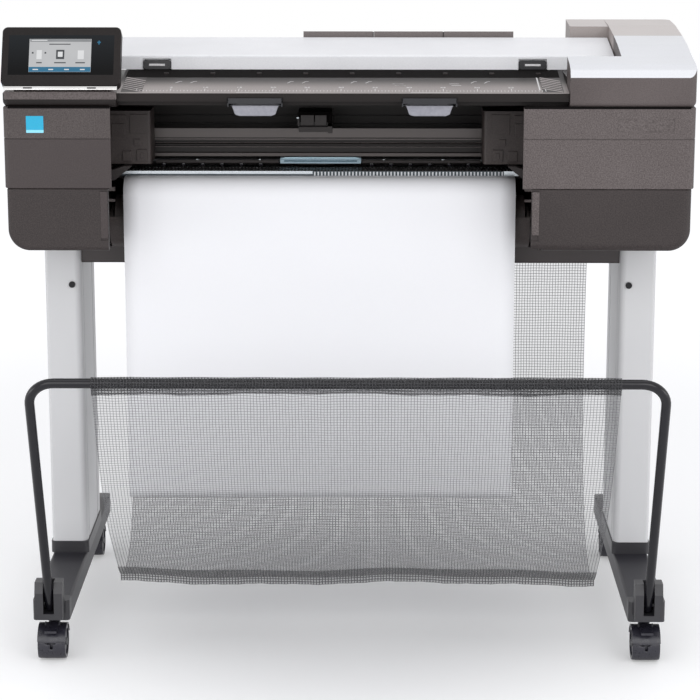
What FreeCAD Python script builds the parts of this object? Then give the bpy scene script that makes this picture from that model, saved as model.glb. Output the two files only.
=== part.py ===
import FreeCAD, Part
import os
import re
import Sketcher
from math import cos, radians, sin
from FreeCAD import Placement, Rotation, Vector

# A 24 inch multifunction large format plotter on its wheeled stand.
# X runs along the machine, seen from the front with +X to the right; Y runs to the back; Z is up.
# The origin is on the floor under the middle of the overall width and depth.

doc = FreeCAD.newDocument("plotter")
sizes = doc.addObject("Spreadsheet::Sheet", "Sizes")
nodes = []


# ---------------------------------------------------------------- driving dimensions
driving = {
    "half_width": 506.5,  # half the overall width, over the side covers
    "body_front": -133,  # front face of the side covers
    "body_back": 300,  # back face of the printer
    "body_bottom": 615,  # underside of the side covers
    "shell": 3,  # wall of the plastic covers
    "seam_gap": 0.6,  # gap between neighbouring covers
    "edge_round": 1.6,  # rounding of the covers' edges along their seams
    "left_inner": -349,  # inner edge of the left upper cover
    "right_inner": 255,  # inner edge of the right upper cover
    "left_step": 6,  # how far the left lower cover sits back from the bay
    "right_step": 13,  # how far the right lower cover sits back from the bay
    "outer_step": 3,  # how far the lower covers sit inside the upper ones
    "corner_round": 12,  # rounding of the covers' front outer edges
    "trim_width": 1.6,  # width of that groove
    "trim_depth": 1.4,  # depth of that groove
    "plate_left": 392,  # left edge of the blank name plate's recess
    "plate_width": 83,  # width of the name plate's recess
    "plate_rise": 19,  # height of the name plate's recess
    "plate_margin": 11,  # name plate's recess above the groove
    "plate_depth": 0.8,  # depth of the name plate's recess
    "belly_round": 32,  # rounding of the lower covers' bottom outer edges
    "paper_middle": -46,  # middle of the paper path
    "paper_width": 594,  # width of the roll paper
    "bay_half": 327,  # half the clear width between the side frames
    "frame_plate": 4,  # thickness of the side frames
    "stand_half": 446.5,  # column and foot centre from the middle plane
    "foot_width": 55,  # width of a foot beam
    "foot_bottom": 64,  # underside of a foot beam
    "foot_rise": 31,  # height of a foot beam
    "foot_front": -200,  # front end of the feet
    "foot_back": 375.7,  # back end of the feet
    "foot_cap": 26,  # length of a foot's end cap
    "beam_round": 4,  # rounding of the feet's and crossbar's long edges
    "cap_round": 6,  # rounding of the moulded caps
    "column_width": 56,  # width of a column
    "column_front": 38,  # front face of the columns
    "column_depth": 178,  # depth of a column
    "column_wall": 4,  # wall of the column extrusion
    "column_round": 5,  # rounding of the column's edges
    "groove_width": 6,  # width of the groove along a column
    "groove_depth": 1.5,  # depth of the groove along a column
    "screw_radius": 5,  # radius of the crossbar screws' heads
    "screw_head": 3,  # height of the crossbar screws' heads
    "screw_drop": 32,  # crossbar screws below the crossbar's underside
    "base_cap_rise": 19,  # height of the cap at the foot of a column
    "base_cap_lip": 2,  # how far that cap stands out round the column
    "crossbar_rise": 26,  # height of the crossbar
    "crossbar_depth": 40,  # depth of the crossbar
    "crossbar_inset": 12,  # front of the crossbar behind the column's front face
    "wheel_radius": 25,  # radius of a caster wheel
    "wheel_width": 13.5,  # width of one of a caster's two wheels
    "fork_width": 12,  # width of the web between the wheels
    "wheel_gap": 0.7,  # side play of a wheel beside its web
    "caster_inset": 34,  # swivel axis from the end of the foot
    "caster_trail": 16,  # axle from the swivel axis
    "axle_radius": 3,  # radius of the wheel axle
    "stem_radius": 5.5,  # radius of the swivel stem
    "stem_length": 22,  # length of the stem inside the foot
    "flat_gap": 0.3,  # clearance between faces that turn past each other
    "running_fit": 0.05,  # radial clearance of a turning shaft in its hole
    "rim_width": 5,  # width of a wheel's rim round its hollow face
    "rim_recess": 2,  # depth of a wheel's hollow face
    "collar_radius": 9,  # radius of the collar under the foot
    "hood_wall": 2.5,  # wall of the hood over the wheels
    "brake_width": 18,  # width of a brake lever
    "brake_wall": 3.5,  # thickness of a brake lever at its pin
    "brake_reach": 27,  # length of a brake lever in front of its pin
    "brake_fall": 7.5,  # how far a brake lever slopes down
    "brake_ear": 2.2,  # thickness of the ears that hold a brake lever
    "brake_pin": 1.1,  # radius of a brake lever's pin
    "hood_gap": 1,  # clearance between wheels and hood
    "bar_radius": 7,  # radius of the basket's tube
    "bar_bend": 36,  # centre line radius of the tube's two bends
    "bar_pivot_y": -214,  # pivot of the basket's tube, from front to back
    "bar_pivot_z": 96,  # pivot of the basket's tube, height
    "bar_reach": 406,  # length of the tube's legs from pivot to cross piece
    "bar_lean": 22.4,  # forward lean of the tube, degrees
    "pivot_radius": 3,  # radius of the pivot studs
    "bracket_width": 41,  # width of a tube bracket
    "bracket_depth": 28,  # depth of a tube bracket
    "bracket_rise": 57,  # height of a tube bracket
    "bracket_drop": 22,  # underside of the bracket below its pivot
    "bracket_wall": 3,  # back wall of the bracket's slot
    "bracket_floor": 9,  # floor of the bracket's slot
    "bracket_gap": 1,  # side clearance of the tube in its bracket
    "sling_half": 370,  # half the width of the mesh sling
    "sling_shift": 12,  # how far the sling hangs to the right of the middle plane
    "sling_cloth": 2,  # thickness of the sling's stand-in
    "sling_low_y": -64,  # lowest point of the sling, from front to back
    "sling_low_z": 88,  # lowest point of the sling, height
    "sling_round": 34,  # radius of the sling's fold at the bottom
    "soft_gap": 0.5,  # clearance of soft parts from their neighbours
    "rod_radius": 5,  # radius of the sling's back rod
    "rod_y": 200,  # back rod, from front to back
    "spindle_y": 30,  # axis of the roll spindle, from front to back
    "spindle_radius": 10,  # radius of the spindle tube
    "journal_radius": 6,  # radius of the spindle's ends
    "roll_radius": 33,  # radius of the paper roll
    "core_radius": 25.5,  # bore of the paper roll
    "hub_radius": 36,  # radius of the spindle hubs
    "hub_width": 16,  # width of a hub flange
    "cover_radius": 44,  # outer radius of the roll cover
    "cover_wall": 2.5,  # wall of the roll cover
    "cover_top_angle": 12,  # top edge of the roll cover above the spindle axis, degrees
    "cover_arm": 3,  # thickness of the roll cover's end arms
    "cradle_width": 11,  # width of a spindle cradle
    "platen_front": 52,  # front edge of the platen
    "platen_back": 118,  # back edge of the platen
    "platen_rise": 9,  # thickness of the platen
    "guide_front": 12,  # front face of the steel exit guide over the sheet
    "guide_depth": 40,  # depth of the exit guide
    "guide_rise": 8,  # height of the exit guide over the platen
    "guide_wall": 5,  # thickness of the exit guide's front lip
    "guide_gap": 1,  # room for the sheet under the exit guide
    "rib_width": 3,  # width of a platen rib
    "rib_pitch": 18,  # spacing of the platen ribs
    "roller_radius": 9,  # radius of the feed roller
    "roller_end_radius": 4,  # radius of the roller ends
    "beam_front": 158,  # front face of the carriage beam
    "beam_depth": 30,  # depth of the carriage beam
    "guard_front": 78.5,  # front face of the folded guard in front of the carriage
    "guard_depth": 4,  # depth of the folded guard
    "guard_fold": 2,  # how far the folds of the guard lie back
    "guard_band": 14,  # height of the guard's flat upper band
    "rail_y": 120,  # carriage rail, from front to back
    "rail_radius": 6,  # radius of the carriage rail
    "carriage_x": -55,  # where the carriage stands
    "carriage_width": 52,  # width of the carriage
    "carriage_front": 84,  # front face of the carriage
    "carriage_back": 148,  # back face of the carriage
    "belt_y": 152,  # carriage belt, from front to back
    "pulley_radius": 7,  # radius of the belt's two end loops
    "belt_wall": 1.5,  # thickness of the belt
    "belt_width": 6,  # width of the belt
    "mask_depth": 60,  # depth of the side masks over the ends of the print zone
    "left_mask": 70,  # width of the left side mask
    "right_mask": 78,  # width of the right side mask
    "mask_front": 12,  # front face of the side masks
    "lever_width": 125,  # width of the load lever
    "lever_y": 66,  # front edge of the load lever
    "lever_depth": 16,  # depth of the load lever
    "lever_rise": 9,  # thickness of the load lever
    "tray_front": -125,  # front lip of the scanner's input tray
    "tray_left": -340,  # left edge of the input tray
    "tray_right": 318,  # right edge of the input tray
    "lip_rise": 16,  # height of the tray's front lip
    "lid_front": 27,  # front face of the scan lid
    "lid_left": -357,  # left end of the scan lid
    "lid_right": 400,  # right end of the scan lid
    "lid_front_rise": 21,  # height of the lid's front face
    "lid_back": 140,  # back edge of the scan lid
    "lid_back_rise": 38,  # height of the lid's back edge
    "scanner_back": 175,  # back face of the scanner
    "latch_width": 42,  # width of a lid latch
    "latch_rise": 14,  # height of a lid latch
    "latch_depth": 9,  # depth of a lid latch
    "latch_spacing": 570,  # spacing of the two lid latches
    "latch_middle": -8,  # middle between the lid latches
    "deflector_width": 81,  # width of a paper deflector
    "deflector_spacing": 255,  # spacing of the two deflectors
    "deflector_middle": -10,  # middle between the deflectors
    "deflector_y": -118,  # hinge of the deflectors, from front to back
    "deflector_barrel": 3.4,  # radius of a deflector's hinge barrel
    "deflector_drop": 18,  # length of a deflector's blade
    "blade": 1.6,  # thickness of a deflector's blade
    "cap_left": 322,  # left edge of the scanner's right cap
    "cap_step": 402,  # left edge of the cap's back part, past the lid's end
    "cap_notch": -61,  # back edge of the cap's left part, in front of the lid's end
    "cap_shoulder": 11,  # how much higher the cap's rounded front shoulder is
    "cap_seam": 60,  # seam between the right cap and the back cover
    "hump_back": 229,  # back face of the raised back cover
    "wing_left": 342,  # left end of the raised cover's wing behind the lid
    "support_left": -74,  # left edge of the sheet support
    "support_right": 254,  # right edge of the sheet support
    "support_rise": 25,  # height of the sheet support
    "support_wall": 4,  # thickness of the sheet support
    "panel_right": -333,  # right edge of the control panel
    "panel_front": -141,  # bottom front edge of the control panel
    "panel_slant": 91,  # slant height of the control panel
    "panel_depth": 18,  # thickness of the control panel
    "panel_round": 8,  # rounding of the control panel's corners
    "panel_tilt": 28,  # lean of the control panel from upright, degrees
    "screen_width": 154,  # width of the panel's glass
    "screen_rise": 62,  # height of the panel's glass
    "screen_depth": 1.5,  # thickness of the panel's glass
    "door_depth": 12,  # thickness of the ink door
    "cartridge_width": 20.5,  # width of an ink cartridge
    "cartridge_depth": 120,  # depth of an ink cartridge
    "cartridge_rise": 62,  # height of an ink cartridge
    "cartridge_pitch": 22.5,  # spacing of the ink cartridges
    "module_width": 150,  # width of the power and control module
    "module_rise": 90,  # height of the power and control module
    "module_depth": 170,  # depth of the power and control module
    "module_gap": 8,  # gap between the module and the right side frame
    "switch_width": 14,  # width of the power switch
    "switch_rise": 20,  # height of the power switch
    "switch_depth": 6,  # depth of the power switch
    "switch_pin": 1.5,  # radius of the power switch's pin
    "switch_gap": 0.5,  # clearance of the power switch in its well
    "switch_inset": 52,  # middle of the power switch from the socket plate's left edge
    "socket_width": 70,  # width of the socket plate at the back
    "socket_rise": 34,  # height of the socket plate at the back
    "inlet_width": 24,  # width of the power inlet
    "inlet_rise": 16,  # height of the power inlet
    "inlet_depth": 16,  # depth of the power inlet
    "inlet_inset": 22,  # middle of the power inlet from the socket plate's left edge
    "latch_gap": 2.5,  # room above a lid latch for its swing
    "lid_gap": 0.5,  # gap between the lid and the scan bed
    "lid_wall": 4,  # wall of the scan lid
    "lip_under": 8,  # room under the tray's front lip for the deflector hinges
    "end_round": 9,  # rounding under the outer edges of the scanner
    "scan_roller_radius": 8,  # radius of the document roller
    "scan_roller_y": 80,  # document roller, from front to back
    "scan_shaft_radius": 3,  # radius of the document roller's ends
    "glass_front": 96,  # front edge of the scan glass
    "glass_depth": 30,  # depth of the scan glass
    "glass_wall": 3,  # thickness of the scan glass
    "deck_rise": 60,  # height of the deck behind the lid, over the scanner's underside
    "sheet_wall": 0.6,  # thickness of the sheet's stand-in
    "sheet_hang_y": -29,  # plane in which the sheet hangs
    "sheet_end": 207,  # bottom edge of the hanging sheet
    "sheet_curl": 56,  # radius of the sheet's curl over the platen edge
    "rib_rise": 3,  # height of the platen ribs
    "lever_pin": 2,  # radius of the cross shaft that the load lever turns on
    "tilt_y": -111,  # tilt axis of the control panel, from front to back
    "tilt_boss": 7.5,  # radius of the hinge boss behind the control panel
    "tilt_pin": 2.5,  # radius of the control panel's hinge pin
    "hinge_plate": 5,  # thickness of the foot plate under the control panel's hinge
    "hinge_front": 7,  # foot plate in front of the hinge's axis
    "hinge_back": 24,  # foot plate behind the hinge's axis
    "lug_half": 4,  # height of a hinge lug over the axis, and its reach in front of it
    "lug": 10,  # width of a hinge lug of the control panel
    "lug_inset": 16,  # hinge lugs from the ends of the control panel
    "boss_radius": 14,  # radius of the cradle boss that the roll cover turns on
}

# Heights in the printer and of what follows it, over the underside of its casing.
over_casing = {
    "seam_height": 93,  # seam between lower and upper side covers
    "body_top": 213,  # top of the side covers, under the scanner
    "trim_seam": 167,  # height of the groove round the upper covers
    "crossbar_bottom": -52,  # underside of the crossbar
    "rod_z": -27,  # back rod, height
    "spindle_z": 22,  # axis of the roll spindle, height
    "platen_top": 90,  # top of the platen
    "beam_bottom": 85,  # underside of the carriage beam
    "beam_top": 185,  # top of the carriage beam
    "guard_bottom": 112,  # bottom edge of the folded guard
    "guard_top": 146,  # top edge of the folded guard
    "rail_z": 133,  # carriage rail, height
    "carriage_bottom": 97,  # underside of the carriage
    "carriage_top": 178,  # top of the carriage
    "belt_z": 159,  # height of the carriage belt
    "mask_bottom": 109,  # underside of the side masks
    "mask_top": 190,  # top of the side masks
    "lever_z": 101,  # underside of the load lever
}

# Heights on the scanner, over its underside, which lies on the tops of the side covers.
over_scanner = {
    "bed_height": 38,  # height of the scan bed under the lid
    "left_cap_top": 22,  # top of the scanner's left end
    "cap_front_top": 44,  # front top edge of the right cap
    "cap_notch_top": 68,  # top of the right cap at the notch
    "cap_seam_top": 87,  # top of the right cap at that seam
    "hump_top": 97,  # top of the raised back cover
    "panel_bottom": 33,  # bottom edge of the control panel
    "tilt_z": 37,  # tilt axis of the control panel, height
}
for row, (alias, number) in enumerate({**driving, **over_casing, **over_scanner}.items(), 1):
    sizes.set("A%d" % row, alias)
    sizes.set("B%d" % row, str(number))
    sizes.setAlias("B%d" % row, alias)
doc.recompute()


# ---------------------------------------------------------------- ways of building a piece
def formula(text):
    """The same formula with every size written as a cell of the sheet, and heights taken from the floor."""
    def cell(match):
        word = match.group()
        if word in over_casing:
            return "(Sizes.body_bottom + Sizes.%s)" % word
        if word in over_scanner:
            return "(Sizes.body_bottom + Sizes.body_top + Sizes.%s)" % word
        return "Sizes." + word if word in driving else word
    return re.sub(r"[a-z][a-z_0-9]*", cell, str(text))


def value(text):
    return float(sizes.evalExpression(formula(text)))


def bind(thing, **formulas):
    for name, text in formulas.items():
        thing.setExpression(name, formula(text))


def move(thing, x="0", y="0", z="0"):
    for letter, text in (("x", x), ("y", y), ("z", z)):
        thing.setExpression("Placement.Base." + letter, formula(text))


def box(x, y, z):
    """A box between two formulas along each direction."""
    thing = doc.addObject("Part::Box", "box")
    bind(thing, Length="(%s) - (%s)" % (x[1], x[0]), Width="(%s) - (%s)" % (y[1], y[0]),
         Height="(%s) - (%s)" % (z[1], z[0]))
    move(thing, x[0], y[0], z[0])
    return thing


turns = {"X": Rotation(Vector(0, 1, 0), 90), "Y": Rotation(Vector(1, 0, 0), -90), "Z": Rotation()}


def rod(axis, radius, low, high, first, second):
    """A cylinder along an axis from low to high; first and second place its centre line."""
    thing = doc.addObject("Part::Cylinder", "rod")
    thing.Placement = Placement(Vector(), turns[axis])
    bind(thing, Radius=radius, Height="(%s) - (%s)" % (high, low))
    place = {"X": (low, first, second), "Y": (first, low, second), "Z": (first, second, low)}
    move(thing, *place[axis])
    return thing


def cut(base, *tools):
    tool = tools[0] if len(tools) == 1 else join(*tools)
    thing = doc.addObject("Part::Cut", "cut")
    thing.Base, thing.Tool = base, tool
    return thing


def join(*pieces):
    thing = doc.addObject("Part::MultiFuse", "join")
    thing.Shapes = list(pieces)
    thing.Refine = True
    return thing


def group(*pieces):
    """Separate solids that make one node, such as four identical caps."""
    thing = doc.addObject("Part::Compound", "group")
    thing.Links = list(pieces)
    return thing


def prism(plane, corners, low, high):
    """A body padded from a closed outline of corner formulas, between two formulas."""
    body = doc.addObject("PartDesign::Body", "body")
    sketch = body.newObject("Sketcher::SketchObject", "outline")
    origin = [f for f in body.Origin.OriginFeatures if f.Role == plane + "_Plane"][0]
    sketch.AttachmentSupport = [(origin, "")]
    sketch.MapMode = "FlatFace"
    start = "-(%s)" % high if plane == "XZ" else low
    sketch.setExpression("AttachmentOffset.Base.z", formula(start))
    points = [Vector(value(u), value(v), 0) for u, v in corners]
    count = len(points)
    for i in range(count):
        sketch.addGeometry(Part.LineSegment(points[i], points[(i + 1) % count]))
    for i in range(count):
        sketch.addConstraint(Sketcher.Constraint("Coincident", i, 2, (i + 1) % count, 1))
    for i, (u, v) in enumerate(corners):
        for kind, text, now in (("DistanceX", u, points[i].x), ("DistanceY", v, points[i].y)):
            index = sketch.addConstraint(Sketcher.Constraint(kind, -1, 1, i, 1, now))
            sketch.setExpression("Constraints[%d]" % index, formula(text))
    pad = body.newObject("PartDesign::Pad", "pad")
    pad.Profile = sketch
    bind(pad, Length="(%s) - (%s)" % (high, low))
    sketch.Visibility = False
    doc.recompute()
    return body


def on_line(x=None, y=None, z=None):
    """A test for straight edges that keep the given coordinates along their whole length."""
    wanted = [value(v) if v is not None else None for v in (x, y, z)]

    def test(edge):
        low, high = edge.BoundBox.getPoint(0), edge.BoundBox.getPoint(6)
        return all(w is None or max(abs(a - w), abs(b - w)) < 0.01
                   for w, a, b in zip(wanted, low, high))
    return test


def round_off(body, radius, *tests):
    """Fillets of one radius on the body's edges that pass one of the tests."""
    tip = body.Tip
    names = ["Edge%d" % (i + 1) for i, edge in enumerate(tip.Shape.Edges)
             if any(test(edge) for test in tests)]
    fillet = body.newObject("PartDesign::Fillet", "fillet")
    fillet.Base = (tip, names)
    bind(fillet, Radius=radius)
    doc.recompute()
    return body


def node(name, thing):
    thing.Label = name
    nodes.append(thing)
    return thing


def mirrored(side, a, b):
    """A span of X, and its mirror image for the left side."""
    return (a, b) if side > 0 else ("-(%s)" % b, "-(%s)" % a)


frame_left = "paper_middle - bay_half"
frame_right = "paper_middle + bay_half"
sides = (("left", -1), ("right", 1))
foot_top = "foot_bottom + foot_rise"
column_bottom = "foot_bottom + foot_rise + base_cap_rise"
column_back = "column_front + column_depth"


# ---------------------------------------------------------------- stand
def foot(side):
    """A steel foot beam with a bore near each end for a caster stem."""
    x = mirrored(side, "stand_half - foot_width / 2", "stand_half + foot_width / 2")
    centre = "%d * stand_half" % side
    low, high = "foot_front + foot_cap", "foot_back - foot_cap"
    beam = prism("XZ", [(x[0], "foot_bottom"), (x[1], "foot_bottom"), (x[1], foot_top), (x[0], foot_top)],
                 low, high)
    round_off(beam, "beam_round", on_line(x=x[0], z=foot_top), on_line(x=x[1], z=foot_top))
    bores = [rod("Z", "stem_radius + running_fit", "foot_bottom - 1", "foot_bottom + stem_length + 1",
                 centre, y) for y in (front_swivel, back_swivel)]
    return cut(beam, *bores)


front_swivel = "foot_front + caster_inset"
back_swivel = "foot_back - caster_inset"


def foot_end_cap(side, front):
    """A moulded cap that closes one end of a foot, with its outer top edge sloped."""
    x = mirrored(side, "stand_half - foot_width / 2", "stand_half + foot_width / 2")
    if front:
        low, high, end = "foot_front", "foot_front + foot_cap", "foot_front"
    else:
        low, high, end = "foot_back - foot_cap", "foot_back", "foot_back"
    cap = prism("XZ", [(x[0], "foot_bottom"), (x[1], "foot_bottom"), (x[1], foot_top), (x[0], foot_top)],
                low, high)
    return round_off(cap, "cap_round", on_line(x=x[0], y=end), on_line(x=x[1], y=end))


def column(side):
    """A hollow column extrusion with a groove along its inner face."""
    x = mirrored(side, "stand_half - column_width / 2", "stand_half + column_width / 2")
    y = ("column_front", column_back)
    body = prism("XY", [(x[0], y[0]), (x[1], y[0]), (x[1], y[1]), (x[0], y[1])], column_bottom, "body_bottom")
    round_off(body, "column_round", *[on_line(x=a, y=b) for a in x for b in y])
    inner = mirrored(side, "stand_half - column_width / 2 + column_wall",
                     "stand_half + column_width / 2 - column_wall")
    hollow = box(inner, ("column_front + column_wall", column_back + " - column_wall"),
                 (column_bottom + " - 1", "body_bottom + 1"))
    face = mirrored(side, "stand_half - column_width / 2 - 1", "stand_half - column_width / 2 + groove_depth")
    middle = "column_front + (column_depth %s groove_width) / 2"
    groove = box(face, (middle % "-", middle % "+"),
                 (column_bottom + " - 1", "body_bottom + 1"))
    return cut(body, hollow, groove)


def base_cap(side):
    """The moulded cap between a foot and its column."""
    x = mirrored(side, "stand_half - column_width / 2 - base_cap_lip",
                 "stand_half + column_width / 2 + base_cap_lip")
    y = ("column_front - base_cap_lip", column_back + " + base_cap_lip")
    cap = prism("XY", [(x[0], y[0]), (x[1], y[0]), (x[1], y[1]), (x[0], y[1])], foot_top, column_bottom)
    return round_off(cap, "cap_round", *[on_line(x=a, y=b) for a in x for b in y])


def column_screw(side):
    """A cap screw that holds the crossbar, its head on the column's front face."""
    x = "%d * (stand_half - column_width / 4)" % side
    return rod("Y", "screw_radius", "column_front - screw_head", "column_front", x,
               "crossbar_bottom - screw_drop")


def bar_bracket(side):
    """A slotted bracket on the front of a foot; a pin across its slot carries the tube."""
    x = mirrored(side, "stand_half - bracket_width / 2", "stand_half + bracket_width / 2")
    slot = "bar_radius + bracket_gap"
    gap = mirrored(side, "stand_half - (%s)" % slot, "stand_half + " + slot)
    low, high = "foot_front - bracket_depth", "foot_front"
    base, top = "bar_pivot_z - bracket_drop", "bar_pivot_z - bracket_drop + bracket_rise"
    block = prism("YZ", [(low, base), (high, base), (high, top), (low + " + 6", top), (low, top + " - 16")],
                  x[0], x[1])
    opened = cut(block, box(gap, (low + " - 1", high + " - bracket_wall"),
                            (base + " + bracket_floor", top + " + 1")))
    pin = rod("X", "pivot_radius", gap[0] + " - 1", gap[1] + " + 1", "bar_pivot_y", "bar_pivot_z")
    return join(opened, pin)


for name, side in sides:
    node(name + "_foot", foot(side))
node("foot_end_caps", group(*[foot_end_cap(s, front) for _, s in sides for front in (True, False)]))
for name, side in sides:
    node(name + "_column", column(side))
node("column_base_caps", group(*[base_cap(s) for _, s in sides]))
node("column_screws", group(*[column_screw(s) for _, s in sides]))
crossbar = prism("YZ", [("column_front + crossbar_inset", "crossbar_bottom"),
                        ("column_front + crossbar_inset + crossbar_depth", "crossbar_bottom"),
                        ("column_front + crossbar_inset + crossbar_depth", "crossbar_bottom + crossbar_rise"),
                        ("column_front + crossbar_inset", "crossbar_bottom + crossbar_rise")],
                 "-(stand_half - column_width / 2)", "stand_half - column_width / 2")
node("stand_crossbar", round_off(crossbar, "beam_round",
                                 on_line(y="column_front + crossbar_inset", z="crossbar_bottom"),
                                 on_line(y="column_front + crossbar_inset + crossbar_depth", z="crossbar_bottom")))
node("basket_brackets", group(*[bar_bracket(s) for _, s in sides]))


# ---------------------------------------------------------------- casters
def caster(corner, side, swivel, braked):
    """A twin wheel caster: a fork with its swivel stem and hood, and two wheels on one axle."""
    x = "%d * stand_half" % side
    axle = "%s - caster_trail" % swivel
    hood_radius = "wheel_radius + hood_gap + hood_wall"
    hood_low = "wheel_radius * 2 + hood_gap"
    hood_half = "fork_width / 2 + wheel_gap + wheel_width + hood_gap"
    web = rod("X", "wheel_radius - 2", x + " - fork_width / 2", x + " + fork_width / 2", axle, "wheel_radius")
    shell = rod("X", hood_radius, x + " - (%s)" % hood_half, x + " + " + hood_half, axle, "wheel_radius")
    for_wheels = [rod("X", "wheel_radius + hood_gap", a, b, axle, "wheel_radius")
                  for a, b in ((x + " - (%s) - 1" % hood_half, x + " - fork_width / 2"),
                               (x + " + fork_width / 2", x + " + %s + 1" % hood_half))]
    below = box((x + " - wheel_radius - 9", x + " + wheel_radius + 9"),
                (axle + " - wheel_radius - 9", axle + " + wheel_radius + 9"), ("-20", "wheel_radius + 8"))
    hood = cut(shell, *for_wheels, below)
    collar = rod("Z", "collar_radius", hood_low, "foot_bottom - flat_gap", x, swivel)
    lower = rod("Z", "collar_radius", "wheel_radius", hood_low, x, swivel)
    core = box((x + " - fork_width / 2", x + " + fork_width / 2"),
               (swivel + " - collar_radius", swivel + " + collar_radius"), ("wheel_radius", hood_low))
    neck = doc.addObject("Part::MultiCommon", "neck")
    neck.Shapes = [lower, core]
    stem = rod("Z", "stem_radius", "foot_bottom - 2", "foot_bottom + stem_length", x, swivel)
    hub = rod("X", "axle_radius + running_fit", x + " - fork_width", x + " + fork_width", axle, "wheel_radius")
    parts = [web, hood, collar, neck, stem]
    if braked:
        pin_y, pin_z, half = brake_place(axle)
        parts.append(rod("X", "brake_pin", x + " - (%s)" % half, x + " + " + half, pin_y, pin_z))
        for a, b in ((x + " - (%s) - brake_ear" % half, x + " - (%s)" % half),
                     (x + " + " + half, x + " + %s + brake_ear" % half)):
            parts.append(box((a, b), (pin_y + " - brake_wall / 2", pin_y + " + brake_wall / 2"),
                             (hood_low, pin_z + " + brake_wall / 2")))
    node("caster_fork_" + corner, cut(join(*parts), hub))
    wheels = []
    for out in (-1, 1):
        near = x + " + %d * (fork_width / 2 + wheel_gap)" % out
        far = x + " + %d * (fork_width / 2 + wheel_gap + wheel_width)" % out
        low, high = (near, far) if out > 0 else (far, near)
        disc = rod("X", "wheel_radius", low, high, axle, "wheel_radius")
        ring = (far + " - rim_recess", far + " + 1") if out > 0 else (far + " - 1", far + " + rim_recess")
        recess = cut(rod("X", "wheel_radius - rim_width", *ring, axle, "wheel_radius"),
                     rod("X", "axle_radius * 2", *ring, axle, "wheel_radius"))
        wheels.append(cut(disc, recess))
    axle_half = "fork_width / 2 + wheel_gap + wheel_width / 2"
    shaft = rod("X", "axle_radius", x + " - (%s)" % axle_half, x + " + " + axle_half, axle, "wheel_radius")
    node("caster_wheels_" + corner, join(*wheels, shaft))


def brake_place(axle):
    """A brake lever's pin axis, and half the width between its ears."""
    return (axle + " - 6", "wheel_radius * 2 + hood_gap + hood_wall + flat_gap + brake_wall / 2",
            "(brake_width / 2 + flat_gap)")


def brake_lever(corner, side, swivel):
    """The brake pedal of a front caster, on a pin between two ears of the hood."""
    x = "%d * stand_half" % side
    pin_y, pin_z, half = brake_place("%s - caster_trail" % swivel)
    half_wall = "brake_wall / 2"
    low, high = x + " - brake_width / 2", x + " + brake_width / 2"
    tip = pin_y + " - brake_reach"
    plate = prism("YZ", [(pin_y, pin_z + " - " + half_wall), (pin_y, pin_z + " + " + half_wall),
                         (tip, pin_z + " - brake_fall + brake_wall"), (tip, pin_z + " - brake_fall")], low, high)
    barrel = rod("X", half_wall, low, high, pin_y, pin_z)
    hole = rod("X", "brake_pin + running_fit", low + " - 1", high + " + 1", pin_y, pin_z)
    return node("brake_lever_" + corner, cut(join(plate, barrel), hole))


for name, side in sides:
    caster("front_" + name, side, front_swivel, True)
    caster("back_" + name, side, back_swivel, False)
    brake_lever("front_" + name, side, front_swivel)


# ---------------------------------------------------------------- basket
def basket_bar():
    """The bent tube at the front of the basket, with a cross bore near each free end."""
    high = "bar_reach - bar_bend"
    parts = [rod("X", "bar_radius", "-(stand_half - bar_bend)", "stand_half - bar_bend", "0", "bar_reach")]
    for _, side in sides:
        x = "%d * stand_half" % side
        parts.append(rod("Z", "bar_radius", "-9", high, x, "0"))
        bend = doc.addObject("Part::Torus", "bend")
        bind(bend, Radius1="bar_bend", Radius2="bar_radius")
        bend.Angle3 = 90
        spin = Rotation(Vector(1, 0, 0), 90)
        if side < 0:
            spin = Rotation(Vector(0, 0, 1), 180) * spin
        bend.Placement = Placement(Vector(), spin)
        move(bend, "%d * (stand_half - bar_bend)" % side, "0", high)
        parts.append(bend)
    bores = [rod("X", "pivot_radius + running_fit", "%d * stand_half - bar_radius - 1" % side,
                 "%d * stand_half + bar_radius + 1" % side, "0", "0") for _, side in sides]
    tube = cut(join(*parts), *bores)
    tube.Placement = Placement(Vector(), Rotation(Vector(1, 0, 0), value("bar_lean")))
    move(tube, "0", "bar_pivot_y", "bar_pivot_z")
    return node("basket_bar", tube)


def basket_sling():
    """The mesh sling: down from the bar, round a fold near the floor and up to the back rod."""
    lean = radians(value("bar_lean"))
    bar_y = value("bar_pivot_y") - value("bar_reach") * sin(lean)
    bar_z = value("bar_pivot_z") + value("bar_reach") * cos(lean)
    cloth, gap = value("sling_cloth"), value("soft_gap")
    low = Vector(0, value("sling_low_y"), value("sling_low_z") + cloth / 2)
    front = Vector(0, bar_y, bar_z - value("bar_radius") - gap)
    back = Vector(0, value("rod_y"), value("rod_z") - value("rod_radius") - gap)

    def trim(start, towards, distance):
        step = towards - start
        return start + step * (distance / step.Length)

    near, far = trim(low, front, value("sling_round") * 1.6), trim(low, back, value("sling_round") * 1.6)
    bottom = low * 0.5 + (near + far) * 0.25
    points = [front, near, bottom, far, back]
    outline = Part.Wire([Part.LineSegment(points[0], points[1]).toShape(),
                         Part.Arc(points[1], points[2], points[3]).toShape(),
                         Part.LineSegment(points[3], points[4]).toShape()])
    band = outline.makeOffset2D(cloth / 2, 0, True, True, False)
    width = value("sling_half")
    shape = band.extrude(Vector(2 * width, 0, 0))
    sling = doc.addObject("Part::Feature", "sling")
    sling.Shape = shape
    sling.Placement = Placement(Vector(value("sling_shift") - width, 0, 0), Rotation())
    return node("basket_sling", sling)


basket_bar()
basket_sling()
node("sling_back_rod", rod("X", "rod_radius", "-(stand_half - column_width / 2)",
                           "stand_half - column_width / 2", "rod_y", "rod_z"))


# ---------------------------------------------------------------- printer body
door_back = "body_front + door_depth + seam_gap"


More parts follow.
